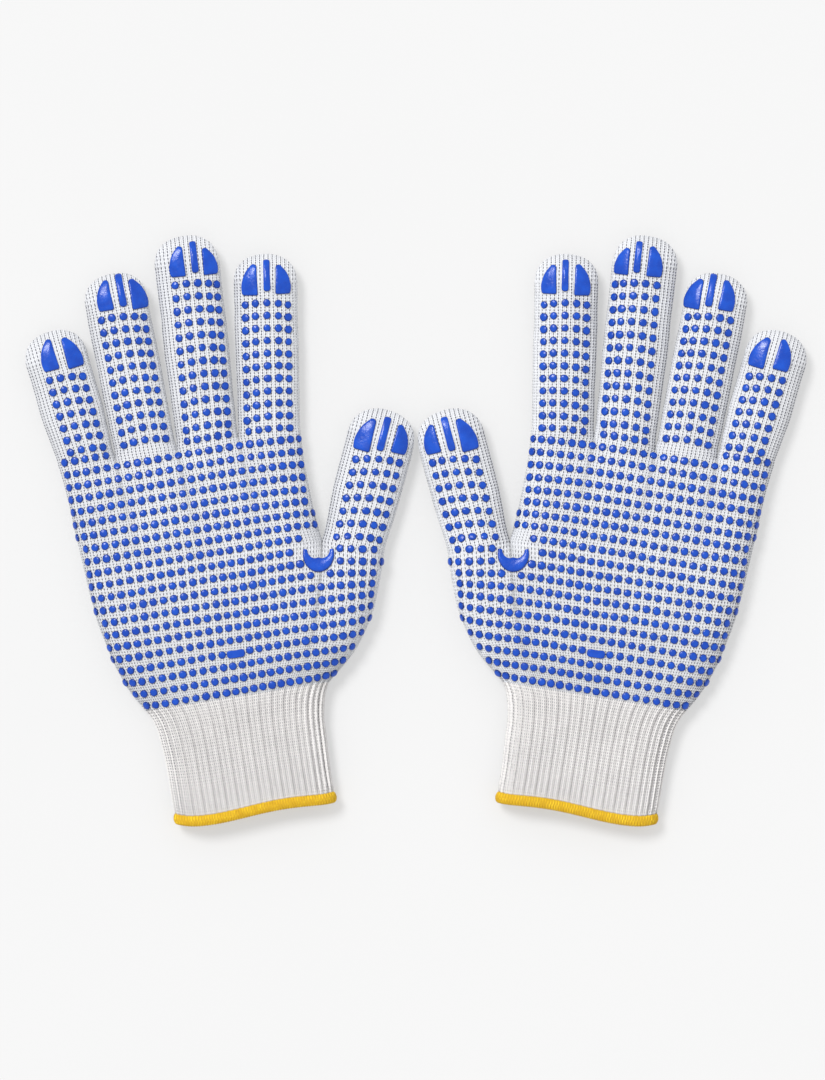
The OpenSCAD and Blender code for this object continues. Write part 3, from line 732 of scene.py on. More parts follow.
def noise_node(tree, vector, scale, detail=3.0):
    node = tree.nodes.new("ShaderNodeTexNoise")
    node.inputs["Scale"].default_value = scale
    node.inputs["Detail"].default_value = detail
    tree.links.new(vector, node.inputs["Vector"])
    return node.outputs["Fac"]


def mix_colour(tree, factor, first, second):
    node = tree.nodes.new("ShaderNodeMix")
    node.data_type = "RGBA"
    for socket, value in ((node.inputs[0], factor), (node.inputs[6], first), (node.inputs[7], second)):
        if isinstance(value, bpy.types.NodeSocket):
            tree.links.new(value, socket)
        else:
            socket.default_value = value
    return node.outputs[2]


def bump_node(tree, height, strength, distance):
    node = tree.nodes.new("ShaderNodeBump")
    node.inputs["Strength"].default_value = strength
    node.inputs["Distance"].default_value = distance
    tree.links.new(height, node.inputs["Height"])
    return node.outputs["Normal"]


def knit_material(name, colour, shade, hole_shade, groove, speckle, valley_shade=0.0):
    """Looped cotton: V-shaped stitches, painted shade in the holes and gaps between the wales, and loose
    fibres.
    """
    made, tree, shader = new_material(name, colour, 0.92)
    coords = tree.nodes.new("ShaderNodeUVMap")
    coords.uv_map = "stitches"
    parts = tree.nodes.new("ShaderNodeSeparateXYZ")
    tree.links.new(coords.outputs["UV"], parts.inputs[0])
    wale, course = parts.outputs[0], parts.outputs[1]
    place_coords = tree.nodes.new("ShaderNodeTexCoord").outputs["Object"]
    fibres = noise_node(tree, place_coords, 2600)
    patches = noise_node(tree, place_coords, 60)
    wander = noise_node(tree, place_coords, 500)
    uneven = math_node(tree, "MULTIPLY_ADD", wander, 0.5, -0.25)
    fraction = math_node(tree, "FRACT", math_node(tree, "MULTIPLY_ADD", wander, 0.28, wale))
    across = math_node(tree, "ABSOLUTE", math_node(tree, "MULTIPLY_ADD", fraction, 2.0, -1.0))
    leaning = math_node(tree, "MULTIPLY_ADD", across, -STITCH_SLANT, course)
    beat = math_node(tree, "COSINE", math_node(tree, "MULTIPLY", leaning, 2 * math.pi))
    between_wales = range_node(tree, across, 0.62, 0.94)
    between_courses = range_node(tree, math_node(tree, "ADD", beat, uneven), 0.85, -0.45)
    holes = math_node(tree, "MULTIPLY", between_wales, between_courses)
    in_middle = range_node(tree, across, 0.30, 0.0)
    # Painted shade: the colour is pulled towards the shade colour in the holes between the stitches, in the
    # gaps between the wales and down the middle of each wale.
    depth = math_node(tree, "MULTIPLY", holes, hole_shade)
    depth = math_node(tree, "MULTIPLY_ADD", between_wales, groove, depth)
    depth = math_node(tree, "MULTIPLY_ADD", in_middle, groove * 0.8, depth)
    # The fibres and patches vary the yarn's tone at random.
    depth = math_node(tree, "MULTIPLY_ADD", math_node(tree, "SUBTRACT", fibres, 0.5), speckle, depth)
    depth = math_node(tree, "MULTIPLY_ADD", math_node(tree, "SUBTRACT", patches, 0.5), 0.25, depth)
    # Painted shade in every second, deeper groove between the ribs.
    if valley_shade:
        drift = math_node(tree, "MULTIPLY_ADD", wander, 1.4, math_node(tree, "SUBTRACT", wale, 0.7))
        rib_turn = math_node(tree, "COSINE", math_node(tree, "MULTIPLY", drift, 2 * math.pi / WALES_PER_RIB))
        pair_turn = math_node(tree, "SINE", math_node(tree, "MULTIPLY", drift, math.pi / WALES_PER_RIB))
        grooved = math_node(tree, "MULTIPLY", range_node(tree, rib_turn, 0.3, -1.0),
                            range_node(tree, pair_turn, -1.0, 1.0, 0.35, 1.0))
        depth = math_node(tree, "MULTIPLY_ADD", grooved, valley_shade, depth)
    depth = math_node(tree, "MAXIMUM", depth, 0.0)
    depth = math_node(tree, "MINIMUM", depth, 1.0)
    # Painted shade in the holes and grooves, and random yarn tone, mixed into the colour.
    tree.links.new(mix_colour(tree, depth, colour, shade), shader.inputs["Base Color"])
    yarn = math_node(tree, "SINE", math_node(tree, "MULTIPLY", across, math.pi))
    twist = math_node(tree, "MULTIPLY", math_node(tree, "ADD", course, across), 6 * math.pi)
    height = math_node(tree, "MULTIPLY_ADD", beat, 0.25, yarn)
    height = math_node(tree, "MULTIPLY_ADD", math_node(tree, "SINE", twist), 0.14, height)
    height = math_node(tree, "MULTIPLY_ADD", fibres, 0.7, height)
    height = math_node(tree, "MULTIPLY_ADD", holes, -0.8, height)
    tree.links.new(bump_node(tree, height, 0.7, 0.35 * MM), shader.inputs["Normal"])
    rough = range_node(tree, fibres, 0.2, 0.8, 0.82, 1.0)
    tree.links.new(rough, shader.inputs["Roughness"])
    shader.inputs["Sheen Weight"].default_value = 0.12
    shader.inputs["Sheen Roughness"].default_value = 0.5
    return made


def vinyl_material(name, colour):
    """Glossy printed vinyl with a faint orange peel, a little bloom, and painted shade towards the foot of
    each dot and patch.
    """
    made, tree, shader = new_material(name, colour, 0.32)
    coords = tree.nodes.new("ShaderNodeTexCoord").outputs["Object"]
    cloud = noise_node(tree, coords, 220)
    grain = noise_node(tree, coords, 1100, 4.0)
    lighter = (colour[0] * 2, colour[1] * 1.5, min(1, colour[2] * 1.3), 1)
    share = range_node(tree, cloud, 0.3, 0.75)
    # Painted shade: the print is darkened towards its foot, where its steep sides would catch less light.
    rise = tree.nodes.new("ShaderNodeAttribute")
    rise.attribute_name = FOOT_SHADE
    painted_foot_shade = (colour[0] * 0.5, colour[1] * 0.45, colour[2] * 0.45, 1)
    body = mix_colour(tree, share, colour, lighter)
    body = mix_colour(tree, range_node(tree, rise.outputs["Fac"], 0.35, 1.0), painted_foot_shade, body)
    tree.links.new(body, shader.inputs["Base Color"])
    tree.links.new(range_node(tree, grain, 0.25, 0.8, 0.16, 0.3), shader.inputs["Roughness"])
    height = math_node(tree, "MULTIPLY_ADD", grain, 0.5, cloud)
    tree.links.new(bump_node(tree, height, 0.6, 0.25 * MM), shader.inputs["Normal"])
    shader.inputs["Specular IOR Level"].default_value = 0.35
    return made


def yarn_material(name, colour, dark, looped=False):
    """Fuzzy sewing yarn whose tone varies at random with its fibres, with painted shade in the gaps between
    its loops where it is overlocked.
    """
    made, tree, shader = new_material(name, colour, 0.85)
    coords = tree.nodes.new("ShaderNodeTexCoord").outputs["Object"]
    fibres = noise_node(tree, coords, 2400)
    patches = noise_node(tree, coords, 350)
    share = math_node(tree, "MULTIPLY_ADD", fibres, 0.45, math_node(tree, "MULTIPLY", patches, 0.5))
    share = range_node(tree, share, 0.30, 0.75)
    height = fibres
    if looped:
        stitch = tree.nodes.new("ShaderNodeUVMap")
        stitch.uv_map = "stitches"
        parts = tree.nodes.new("ShaderNodeSeparateXYZ")
        tree.links.new(stitch.outputs["UV"], parts.inputs[0])
        wander = math_node(tree, "MULTIPLY_ADD", patches, 0.7, parts.outputs[0])
        # Painted shade: the colour is pulled towards the darker yarn in the gaps between the overlocked
        # loops.
        for slant in (1.3, -0.9):
            lean = math_node(tree, "MULTIPLY_ADD", parts.outputs[1], slant, wander)
            beat = math_node(tree, "COSINE", math_node(tree, "MULTIPLY", lean, 2 * math.pi))
            gap = range_node(tree, beat, -0.35, -0.98, 0.0, 0.7)
            share = math_node(tree, "SUBTRACT", share, gap)
            height = math_node(tree, "MULTIPLY_ADD", gap, -1.6, height)
        share = math_node(tree, "MAXIMUM", share, 0.0)
    tree.links.new(mix_colour(tree, share, dark, colour), shader.inputs["Base Color"])
    tree.links.new(range_node(tree, fibres, 0.2, 0.8, 0.7, 0.95), shader.inputs["Roughness"])
    tree.links.new(bump_node(tree, height, 0.6, 0.25 * MM), shader.inputs["Normal"])
    return made


MATERIALS = {}
# The attribute that holds how high a point of the print stands, 0 at its foot and 1 on top. The vinyl turns
# it into painted shade at the foot.
FOOT_SHADE = "rise"


def settings():
    return bpy.context.scene.glove_settings


class GloveSettings(bpy.types.PropertyGroup):
    """All settings of the pair."""

    knit: bpy.props.PointerProperty(type=KnitSettings)
    cuff: bpy.props.PointerProperty(type=CuffSettings)
    prints: bpy.props.PointerProperty(type=PrintSettings)
    stage: bpy.props.PointerProperty(type=StageSettings)


class GLOVES_OT_materials(bpy.types.Operator):
    """Make the yarns, the vinyl and the elastic"""

    bl_idname = "gloves.materials"
    bl_label = "Materials"

    def execute(self, context):
        knit, cuff, prints = settings().knit, settings().cuff, settings().prints
        # Painted shade: the shade colour fills the holes and grooves between the stitches of the knit, the
        # rib and the purl side; the fibres add random tone.
        MATERIALS["knit"] = knit_material(
            "bleached_cotton_knit", knit.colour, knit.shade, hole_shade=0.95, groove=0.22, speckle=0.22)
        MATERIALS["rib"] = knit_material(
            "bleached_cotton_rib", cuff.knit_colour, knit.shade,
            hole_shade=0.9, groove=0.04, speckle=0.75, valley_shade=0.2)
        MATERIALS["lining"] = knit_material(
            "purl_side_knit", knit.colour, knit.shade, hole_shade=0.4, groove=0.3, speckle=0.3)
        MATERIALS["vinyl"] = vinyl_material("blue_vinyl", prints.colour)
        # The hem's darker yellow is random fibre tone and painted shade in the gaps between its loops; the
        # elastic's darker grey is random fibre tone only.
        MATERIALS["hem"] = yarn_material(
            "yellow_overlock_yarn", cuff.hem_colour, dark=(0.62, 0.36, 0.007, 1), looped=True)
        MATERIALS["elastic"] = yarn_material(
            "elastic_thread", (0.62, 0.61, 0.56, 1), dark=(0.35, 0.34, 0.31, 1))
        return {"FINISHED"}


# ---- Knit ----

def glove_sheets(hand):
    """All sheets of one glove, with relief and normals that agree at every seam."""
    palm = palm_sheets(hand)
    lobe = DIGIT_COLUMNS
    front_low, front_high = palm["front"]
    back_low, back_high = palm["back"]
    last_front = front_high.row(-1)
    last_back = back_high.row(-1)
    thumb_front = front_low.row(-1)[4 * lobe:]
    thumb_back = back_low.row(-1)[:lobe + 1]
    digits = {}
    for rank, name in enumerate(FINGERS):
        columns = slice(rank * lobe, (rank + 1) * lobe + 1)
        back_columns = slice((3 - rank) * lobe, (4 - rank) * lobe + 1)
        digits[name] = digit_sheet(
            hand, hand.digits[name], last_front[columns], last_back[back_columns])
    digits["thumb"] = digit_sheet(hand, hand.digits["thumb"], thumb_front, thumb_back)
    wrist_front = front_low.row(0)
    wrist_back = back_low.row(0)
    run = np.linalg.norm(wrist_front[:, :2] - wrist_front[0, :2], axis=1)
    cuff, cuff_s = cuff_sheet(hand, wrist_front, wrist_back, run / run[-1])
    sheets = [front_low, front_high, back_low, back_high, *digits.values(), cuff]
    set_normals(sheets)
    BUILT["ground"] = Ground([front_low, front_high, *digits.values()])
    for sheet in sheets:
        sheet.relief = hand.stitch_depth * (stitch_relief(sheet.stitches) - STITCH_ZERO)
        sheet.relief += unevenness(sheet.points)
    # Ribs rise over a stretch that starts a short way up the heel, and fade out under the hem.
    ribs = settings().cuff.rib_depth / MM
    into_heel, rise_length, hem_start, fade_length = 5, 11, CUFF_LENGTH - 2.2, 6
    rise = smooth((cuff_s + into_heel) / rise_length) * smooth((hem_start - cuff_s) / fade_length)
    cuff.relief += ribs * np.repeat(rise, cuff.shape[1]) * rib_relief(cuff.stitches[:, 0])
    for sheet, mirrored in ((front_low, False), (back_low, True)):
        wale, course = sheet.stitches.T
        wale = 2 * 5 * WALES_PER_DIGIT - wale if mirrored else wale
        rise = smooth((into_heel - course * hand.course) / rise_length)
        sheet.relief += ribs * rise * rib_relief(wale)
    for sheet in sheets:
        sheet.points = sheet.points + sheet.normals * sheet.relief[:, None]
        sheet.points[:, 2] = np.maximum(sheet.points[:, 2], FLOOR_CLEARANCE)
    set_normals(sheets)
    return palm, digits, cuff


class GLOVES_OT_knit(bpy.types.Operator):
    """Knit the palms, fingers, thumbs and rib cuffs of both gloves"""

    bl_idname = "gloves.knit"
    bl_label = "Knit"

    def execute(self, context):
        hand = Hand(settings().knit)
        palm, digits, cuff = glove_sheets(hand)
        for side in SIDES:
            palm_front, palm_back = (
                sheet_object(f"{side}_palm_{part}", palm[key], side, hand, MATERIALS["knit"])
                for part, key in (("face", "front"), ("back", "back")))
            for piece in (palm_front, palm_back):
                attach(piece, f"{side}_palm")
            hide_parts(f"{side}_palm_knit")
            for name, sheet in digits.items():
                digit = hand.digits[name]
                cut = int(digit.base_length * KNIT_SPLIT / (hand.course / ROWS_PER_COURSE))
                lower = sheet_object(f"{side}_{name}_lower_knit", [sheet.rows(0, cut)],
                                     side, hand, MATERIALS["knit"])
                upper = sheet_object(f"{side}_{name}_upper_knit", [sheet.rows(cut, sheet.shape[0] - 1)],
                                     side, hand, MATERIALS["knit"])
                bend_at_base(lower, hand, digit, side)
                bend_at_middle(upper, hand, digit, side)
                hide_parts(f"{side}_{name}_base_knit")
                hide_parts(f"{side}_{name}_tip_knit")
            rib = sheet_object(f"{side}_rib_cuff", [cuff], side, hand, MATERIALS["rib"])
            bend_at_wrist(rib, hand, side)
            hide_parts(f"{side}_cuff_rib_knit")
        return {"FINISHED"}


# ---- Lining, seen through the cuff ----

POUCH_SHARE = 0.965
POUCH_END_SHARE = 0.04


class GLOVES_OT_lining(bpy.types.Operator):
    """Line the cuffs and close the pouch that shows through them"""

    bl_idname = "gloves.lining"
    bl_label = "Lining"

    def execute(self, context):
        hand = Hand(settings().knit)
        low, _ = palm_plan(hand, rows_low=16, rows_high=1, per_wale=1)
        rows, cols = low.shape[:2]
        front, back = hand.palm_heights(low.reshape(-1, 2), KNIT_WALL)
        middle = hand.fold_z
        narrow = np.ones((rows, 1))
        narrow[-1] = POUCH_END_SHARE
        front = middle + (front.reshape(rows, cols) - middle) * narrow
        back = middle + (back.reshape(rows, cols) - middle) * narrow
        centre = low.mean(axis=1, keepdims=True)
        shrunk = centre + (low - centre) * POUCH_SHARE
        upper = np.concatenate([shrunk, front[..., None]], axis=-1)
        lower = np.concatenate([shrunk, back[..., None]], axis=-1)
        points = ring_rows(upper, lower[:, ::-1])[:, ::-1]
        wales = np.arange(points.shape[1])[None] * 1.0
        pouch = Sheet(points, wales, (np.arange(rows) * 3.0)[:, None])
        s = np.linspace(CUFF_LENGTH - 2, 0, 25)
        shares = np.linalg.norm(low[0] - low[0, 0], axis=1)
        shares = shares / shares[-1]
        half = cuff_half(s) - KNIT_WALL
        x = np.outer(half, 2 * shares - 1)
        height = cuff_height(hand, s)[:, None] - KNIT_WALL
        height = height * round_share(half[:, None] - np.abs(x), CUFF_ROUND)
        s_grid = s[:, None] + cuff_droop(x, s[:, None])
        upper = cuff_point(x, s_grid, middle + height)
        lower = cuff_point(x, s_grid, middle - height)
        points = ring_rows(upper, lower[:, ::-1])[:, ::-1]
        points[-1] = pouch.row(0)
        tube = Sheet(points, wales, (-s / hand.course)[:, None])
        set_normals([pouch, tube])
        for side in SIDES:
            pouch_piece = sheet_object(f"{side}_palm_lining", [pouch], side, hand, MATERIALS["lining"])
            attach(pouch_piece, f"{side}_palm")
            tube_piece = sheet_object(f"{side}_cuff_lining", [tube], side, hand, MATERIALS["lining"])
            bend_at_wrist(tube_piece, hand, side)
            for slot in frame["nodes"][f"{side}_cuff_elastic_threads"].material_slots:
                slot.material = MATERIALS["elastic"]
        return {"FINISHED"}


# ---- Hem ----

HEM_LOOPS = 124
HEM_COLUMNS_PER_LOOP = 6
HEM_SECTION = 26


class GLOVES_OT_hem(bpy.types.Operator):
    """Overlock the ends of the cuffs with yellow yarn"""

    bl_idname = "gloves.hem"
    bl_label = "Overlocked hem"

    def execute(self, context):
        hand = Hand(settings().knit)
        height = settings().cuff.hem_height / MM
        around = HEM_LOOPS * HEM_COLUMNS_PER_LOOP
        ring = np.linspace(0, 1, 800)
        # The middle of the hem's roll runs round the cuff's end, inside the face of the knit.
        half = CUFF_WIDTH / 2 - KNIT_WALL / 2
        tall = hand.fold_z - CUFF_THINNING - KNIT_WALL / 2
        ring_x = ring * 2 * half
        ring_z = tall * round_share(half - np.abs(ring_x - half), CUFF_ROUND)
        edge = even_cuts(around // 2, ring_x, ring_x, ring_z) - half
        rise = tall * round_share(half - np.abs(edge), CUFF_ROUND)
        path = np.concatenate([np.stack([edge, rise], 1), np.stack([edge[::-1], -rise[::-1]], 1)[1:]])
        step = np.gradient(path, axis=0)
        step[0] = step[-1] = [0, 1]
        out = np.stack([-step[:, 1], step[:, 0]], 1)
        out /= np.linalg.norm(out, axis=1)[:, None]
        turn = np.linspace(0, 2 * math.pi, HEM_SECTION + 1)
        count = np.linspace(0, HEM_LOOPS, len(path))[:, None]
        face = np.cos(turn)[None]
        cord = 0.5 + 0.5 * np.cos(2 * math.pi * (count - 0.16 * np.sin(turn) * 3))
        cross = 0.5 + 0.5 * np.cos(2 * math.pi * (count + 0.5 + 0.22 * np.sin(turn) * 3))
        relief = 0.6 * np.maximum(cord, 0.8 * cross) ** 1.3
        relief *= mix(0.65, 1.0, np.clip(np.abs(face) + 0.2, 0, 1))
        thick = 1.25 + relief
        tall_half = height / 2 - 0.25 + relief
        offset = np.sign(face) * np.abs(face) ** 0.8 * thick
        slide = np.sin(turn)[None] * tall_half
        x = path[:, 0][:, None] + out[:, 0][:, None] * offset
        z = path[:, 1][:, None] + out[:, 1][:, None] * offset
        s = CUFF_LENGTH - height / 2 + slide + cuff_droop(path[:, 0], np.array(CUFF_LENGTH))[:, None]
        z = np.maximum(hand.fold_z + z, FLOOR_CLEARANCE)
        points = cuff_point(x, s, z)[::-1]
        sheet = Sheet(points, count[::-1], (turn / math.pi)[None])
        set_normals([sheet])
        if np.mean((sheet.points - sheet.points.mean(0))[:, 0] * sheet.normals[:, 0]) < 0:
            sheet.faces = sheet.faces[:, ::-1]
            sheet.normals = -sheet.normals
        for side in SIDES:
            piece = sheet_object(f"{side}_overlocked_hem", [sheet], side, hand, MATERIALS["hem"])
            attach(piece, f"{side}_cuff")
            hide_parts(f"{side}_cuff_hem")
        return {"FINISHED"}


# ---- Printed dots and patches ----

# Where the print sits on each digit: columns, offset at the base and at the tip, the
# first and last row from the web line, and the slopes of the first and the last row.
PRINTS = {
    "thumb": (5, 1.7, 1.4, 4.6, 36.9, 0.17, 0.17),
    "index": (5, -0.3, 0.5, 2.3, 53.2, 0.12, -0.02),
    "middle": (5, 0.7, 3.7, 1.5, 64.3, 0.05, -0.10),
    "ring": (5, 0.8, 2.0, 0.0, 55.6, -0.03, -0.12),
    "little": (4, 1.9, 2.0, 0.1, 35.2, -0.12, -0.16),
}
# A row's ends hang back from its middle by this share of the square of the distance.
ROW_SAG = 0.011
ROW_REACH = 20
# How far a dot's middle stays from a knuckle line, and from a digit's folds.
KNUCKLE_GAP = 2.3
FOLD_GAP = 0.8
# How far the palm's dots stay from the webs and from the palm's border, in plan and round its arc,
# and how far below a knuckle line the border no longer counts.
WEB_GAP = 1.6
BORDER_GAP = 0.35
BORDER_ARC_GAP = 0.4
KNUCKLE_REACH = 6
# The least distance between the palm's dots and a digit's, and the room round the bar.
DOT_SPACING = 3.5
BAR_STRETCH = 1.6
BAR_ROOM = 3.4

# Middles of the fingertip patches (outer, bar, inner): distance across, distance back from
# the tip, and size.
PATCHES = {
    "thumb": ((-6.3, 12.4, 1.15), (0.8, 9.9, 1.1), (8.0, 10.9, 0.98)),
    "index": ((-6.0, 11.3, 1.06), (0.7, 9.1, 1.0), (6.9, 11.3, 0.99)),
    "middle": ((-3.7, 11.0, 1.03), (3.2, 9.3, 1.0), (9.0, 12.0, 0.92)),
    "ring": ((-4.0, 9.1, 1.03), (2.9, 7.6, 1.05), (9.1, 10.6, 1.04)),
    "little": ((-2.6, 10.0, 1.06), (6.8, 11.2, 1.08)),
}
ROUND_PITCH = 4.7
BAR_MIDDLE = np.array([-0.4, 17.4])
BAR_THICKNESS = 0.8
PATCH_THICKNESS = 0.75
CRESCENT_SIZE = np.array([6.4, 7.3])
CRESCENT_THICKNESS = 0.85
CRESCENT_HALF_SWEEP = 106
DOT_CORNERS = 12
DOT_FOOT = 0.25
PRINT_LIFT = 0.16


def digit_dots(digit, pitch):
    """Places of the dots on one digit, as distances across and along it."""
    count, low_offset, high_offset, first, last, low_slope, high_slope = PRINTS[digit.name]
    rows = int(round((last - first) / pitch)) + 1
    spots = []
    for s in np.linspace(first, last, rows):
        offset = mix(low_offset, high_offset, s / last)
        slope = mix(low_slope, high_slope, s / last)
        for column in range(count):
            arc = offset + (column - (count - 1) / 2) * ROUND_PITCH
            half = digit.half_width(s)
            x = half * math.sin(arc / half)
            spots.append((x, s + slope * (x - offset) + ROW_SAG * (ROW_REACH - (x - offset) ** 2)))
    return spots


def digit_spots(digit, pitch):
    """The dots of a digit that clear its knuckle line and its two folds."""
    spots = np.array(digit_dots(digit, pitch))
    tilt = math.tan(math.radians(digit.slope + digit.lean))
    keep = spots[:, 1] > spots[:, 0] * tilt + KNUCKLE_GAP
    keep &= np.abs(spots[:, 0]) < digit.half_width(spots[:, 1]) - FOLD_GAP
    return spots[keep]


def digit_plan(digit, spots):
    return digit.middle + np.outer(spots[:, 0], digit.across) + np.outer(spots[:, 1], digit.along)


def palm_dots(pitch_across, pitch_along):
    """Places of the dots on the palm: columns that lean with it and turn towards the thumb."""
    spots = []
    first_x, first_row, first_at, top = -66.6, 103.0, 12.9, 104
    little_lean, thumb_lean = 0.116, 0.05
    heel_rise, thumb_spread, thumb_drop = 0.055, 0.10, 0.16
    for column in range(-3, 31):
        top_x = first_x + column * pitch_across
        lean = mix(little_lean, thumb_lean, float(np.clip((top_x + 15) / 55, 0, 1)))
        for row in range(-4, 24):
            x = top_x
            # The column leans and the row climbs, so their crossing is closed in on.
            for _ in range(4):
                y = first_row - row * pitch_along + row_rise(x) - row_rise(first_at)
                x = top_x + (top - y) * lean
            y += heel_rise * max(0.0, x) * (1 - float(smooth((y - 60) / 30)))
            near_thumb = float(smooth((y - 36) / 26)) * max(0.0, x - 35)
            spots.append((x + thumb_spread * near_thumb, y - thumb_drop * near_thumb))
    return np.array(spots)


def row_rise(x):
    """Height of a row of dots across the palm: steep on the little finger's side."""
    steep, gentle, start, stretch = 0.175, 0.068, -15.0, 54.0
    run = np.clip(x - start, 0, stretch)
    eased = run ** 2 / (2 * stretch)
    beyond = max(0.0, x - start - stretch)
    return steep * x - (steep - gentle) * eased - (steep - gentle) * beyond


def inside_palm(hand, plan):
    """Whether points lie inside the palm's outline."""
    steps = np.linspace(0, 1, 25)
    outline = np.concatenate([
        hand.hand_side(steps), hand.webs[1:4], hand.index_side(steps)[::-1], hand.thumb_side(steps)[::-1]])
    inside = np.zeros(len(plan), bool)
    for a, b in zip(outline, np.roll(outline, -1, axis=0)):
        spans = (a[1] > plan[:, 1]) != (b[1] > plan[:, 1])
        rise = b[1] - a[1] if b[1] != a[1] else 1e-9
        inside ^= spans & (plan[:, 0] < a[0] + (b[0] - a[0]) * (plan[:, 1] - a[1]) / rise)
    return inside


def round_borders(hand, plan):
    """Wraps a flat pattern round the palm's outer folds, and drops what would leave the palm."""
    gap, nearest = nearest_on_lines(plan, hand.folds)
    inward = (plan - nearest) / np.maximum(gap, 1e-6)[:, None]
    inside = inside_palm(hand, plan)
    inward[~inside] *= -1
    gap = np.where(inside, gap, -gap)
    depth = np.linspace(0, PALM_ROUND, 200)
    height = (hand.fold_z + 1) * round_share(depth, PALM_ROUND)
    arc = length_along(depth, height)
    # The pattern is pulled in so that its arc ends level with the full height.
    pulled = np.interp(gap - PALM_ROUND + arc[-1], arc, depth)
    reach = (gap < PALM_ROUND) & (gap > PALM_ROUND - arc[-1] + BORDER_ARC_GAP)
    moved = np.where(reach[:, None], nearest + inward * pulled[:, None], plan)
    kept = (reach & (pulled > BORDER_GAP)) | (gap >= PALM_ROUND) | near_knuckles(hand, plan)
    return moved[kept]


def near_knuckles(hand, plan):
    """Whether points lie within a dot's reach of the lines where fingers and thumb begin."""
    near = np.zeros(len(plan), bool)
    for a, b in ((hand.crotch, hand.thumb_outside), *zip(hand.webs[:-1], hand.webs[1:])):
        run = (b - a) / np.linalg.norm(b - a)
        across = (plan - a) @ run
        above = (plan - a) @ np.array([-run[1], run[0]])
        between = (across > WEB_GAP) & (across < np.linalg.norm(b - a) - WEB_GAP)
        near |= between & (above > -KNUCKLE_REACH) & (above < KNUCKLE_GAP)
    return near


def dot_shape(context, prints):
    """A domed dot, shaped from a cylinder, in millimetres with its foot at zero."""
    bpy.ops.object.select_all(action="DESELECT")
    bpy.ops.mesh.primitive_cylinder_add(
        vertices=DOT_CORNERS, radius=prints.dot_diameter / 2 / MM, depth=prints.dot_height / MM,
        end_fill_type="NOTHING", location=(0, 0, prints.dot_height / 2 / MM))
    shape = context.object
    bpy.ops.object.transform_apply(location=True, rotation=True, scale=True)
    top = prints.dot_height / MM
    bpy.ops.object.mode_set(mode="EDIT")
    bpy.ops.mesh.select_mode(type="VERT")
    bpy.ops.mesh.select_all(action="DESELECT")
    bpy.ops.object.mode_set(mode="OBJECT")
    for vertex in shape.data.vertices:
        vertex.select = vertex.co.z > top / 2
    for edge in shape.data.edges:
        edge.select = all(shape.data.vertices[k].select for k in edge.vertices)
    bpy.ops.object.mode_set(mode="EDIT")
    bpy.ops.transform.translate(value=(0, 0, -0.52 * top))
    for shrink, rise in ((0.93, 0.22), (0.78, 0.18), (0.5, 0.12)):
        bpy.ops.mesh.extrude_region_move(TRANSFORM_OT_translate={"value": (0, 0, rise * top)})
        bpy.ops.transform.resize(value=(shrink, shrink, 1))
    bpy.ops.mesh.merge(type="CENTER")
    bpy.ops.object.mode_set(mode="OBJECT")
    mesh = shape.data
    points = np.array([vertex.co[:] for vertex in mesh.vertices])
    points[:, 2] -= DOT_FOOT
    quads = np.array([list(face.vertices) + ([face.vertices[2]] if len(face.vertices) == 3 else [])
                      for face in mesh.polygons])
    bpy.data.objects.remove(shape)
    return points, quads


def dot_group(name, shape, spots, normals, side, hand, material, seed):
    """Many dots as one object, each a little different, standing on the knit."""
    rng = np.random.default_rng(seed)
    base, quads = shape
    ring = np.arctan2(base[:, 1], base[:, 0])
    corner = np.round((ring + math.pi) / (2 * math.pi) * DOT_CORNERS).astype(int) % DOT_CORNERS
    spots = spots + normals * PRINT_LIFT
    points, faces = [], []
    for spot, up in zip(spots, normals):
        up = up / np.linalg.norm(up)
        flat = np.cross([0.0, 1.0, 0.0], up)
        flat /= np.linalg.norm(flat)
        axes = np.stack([flat, np.cross(up, flat), up])
        size = rng.normal(1, 0.03) * np.array([rng.normal(1, 0.025), rng.normal(1, 0.025), 1])
        spin = rng.uniform(0, 2 * math.pi)
        cos, sin = math.cos(spin), math.sin(spin)
        turn = np.array([[cos, sin, 0], [-sin, cos, 0], [0, 0, 1]])
        wobble = 1 + 0.03 * rng.normal(size=DOT_CORNERS)
        shaped = base @ turn
        shaped[:, :2] *= wobble[corner][:, None]
        faces.append(quads + len(base) * len(points))
        points.append(spot + (shaped * size) @ axes)
    points = np.concatenate(points)
    faces = np.concatenate(faces)
    rise = np.clip(base[:, 2] / base[:, 2].max(), 0, 1)
    return loose_object(name, points, faces, side, hand, material, np.tile(rise, len(spots)))


def loose_object(name, points, faces, side, hand, material, rise):
    """A mesh object from quads, of which some are triangles with their last corner repeated."""
    verts = place(points, hand, side)
    rows = [list(dict.fromkeys(face)) for face in faces.tolist()]
    if side == "left":
        rows = [row[::-1] for row in rows]
    mesh = bpy.data.meshes.new(name)
    mesh.from_pydata(verts.tolist(), [], rows)
    mesh.polygons.foreach_set("use_smooth", np.ones(len(rows), bool))
    # How high each point stands, which the vinyl turns into painted shade at the foot.
    mesh.attributes.new(FOOT_SHADE, "FLOAT", "POINT").data.foreach_set(
        "value", np.asarray(rise, np.float32))
    mesh.update()
    return linked(name, mesh, material)


def on_knit(plan, height):
    """Points at a height above the knit."""
    spots, normals = BUILT["ground"].touch(plan)
    return spots + normals * (PRINT_LIFT + height)


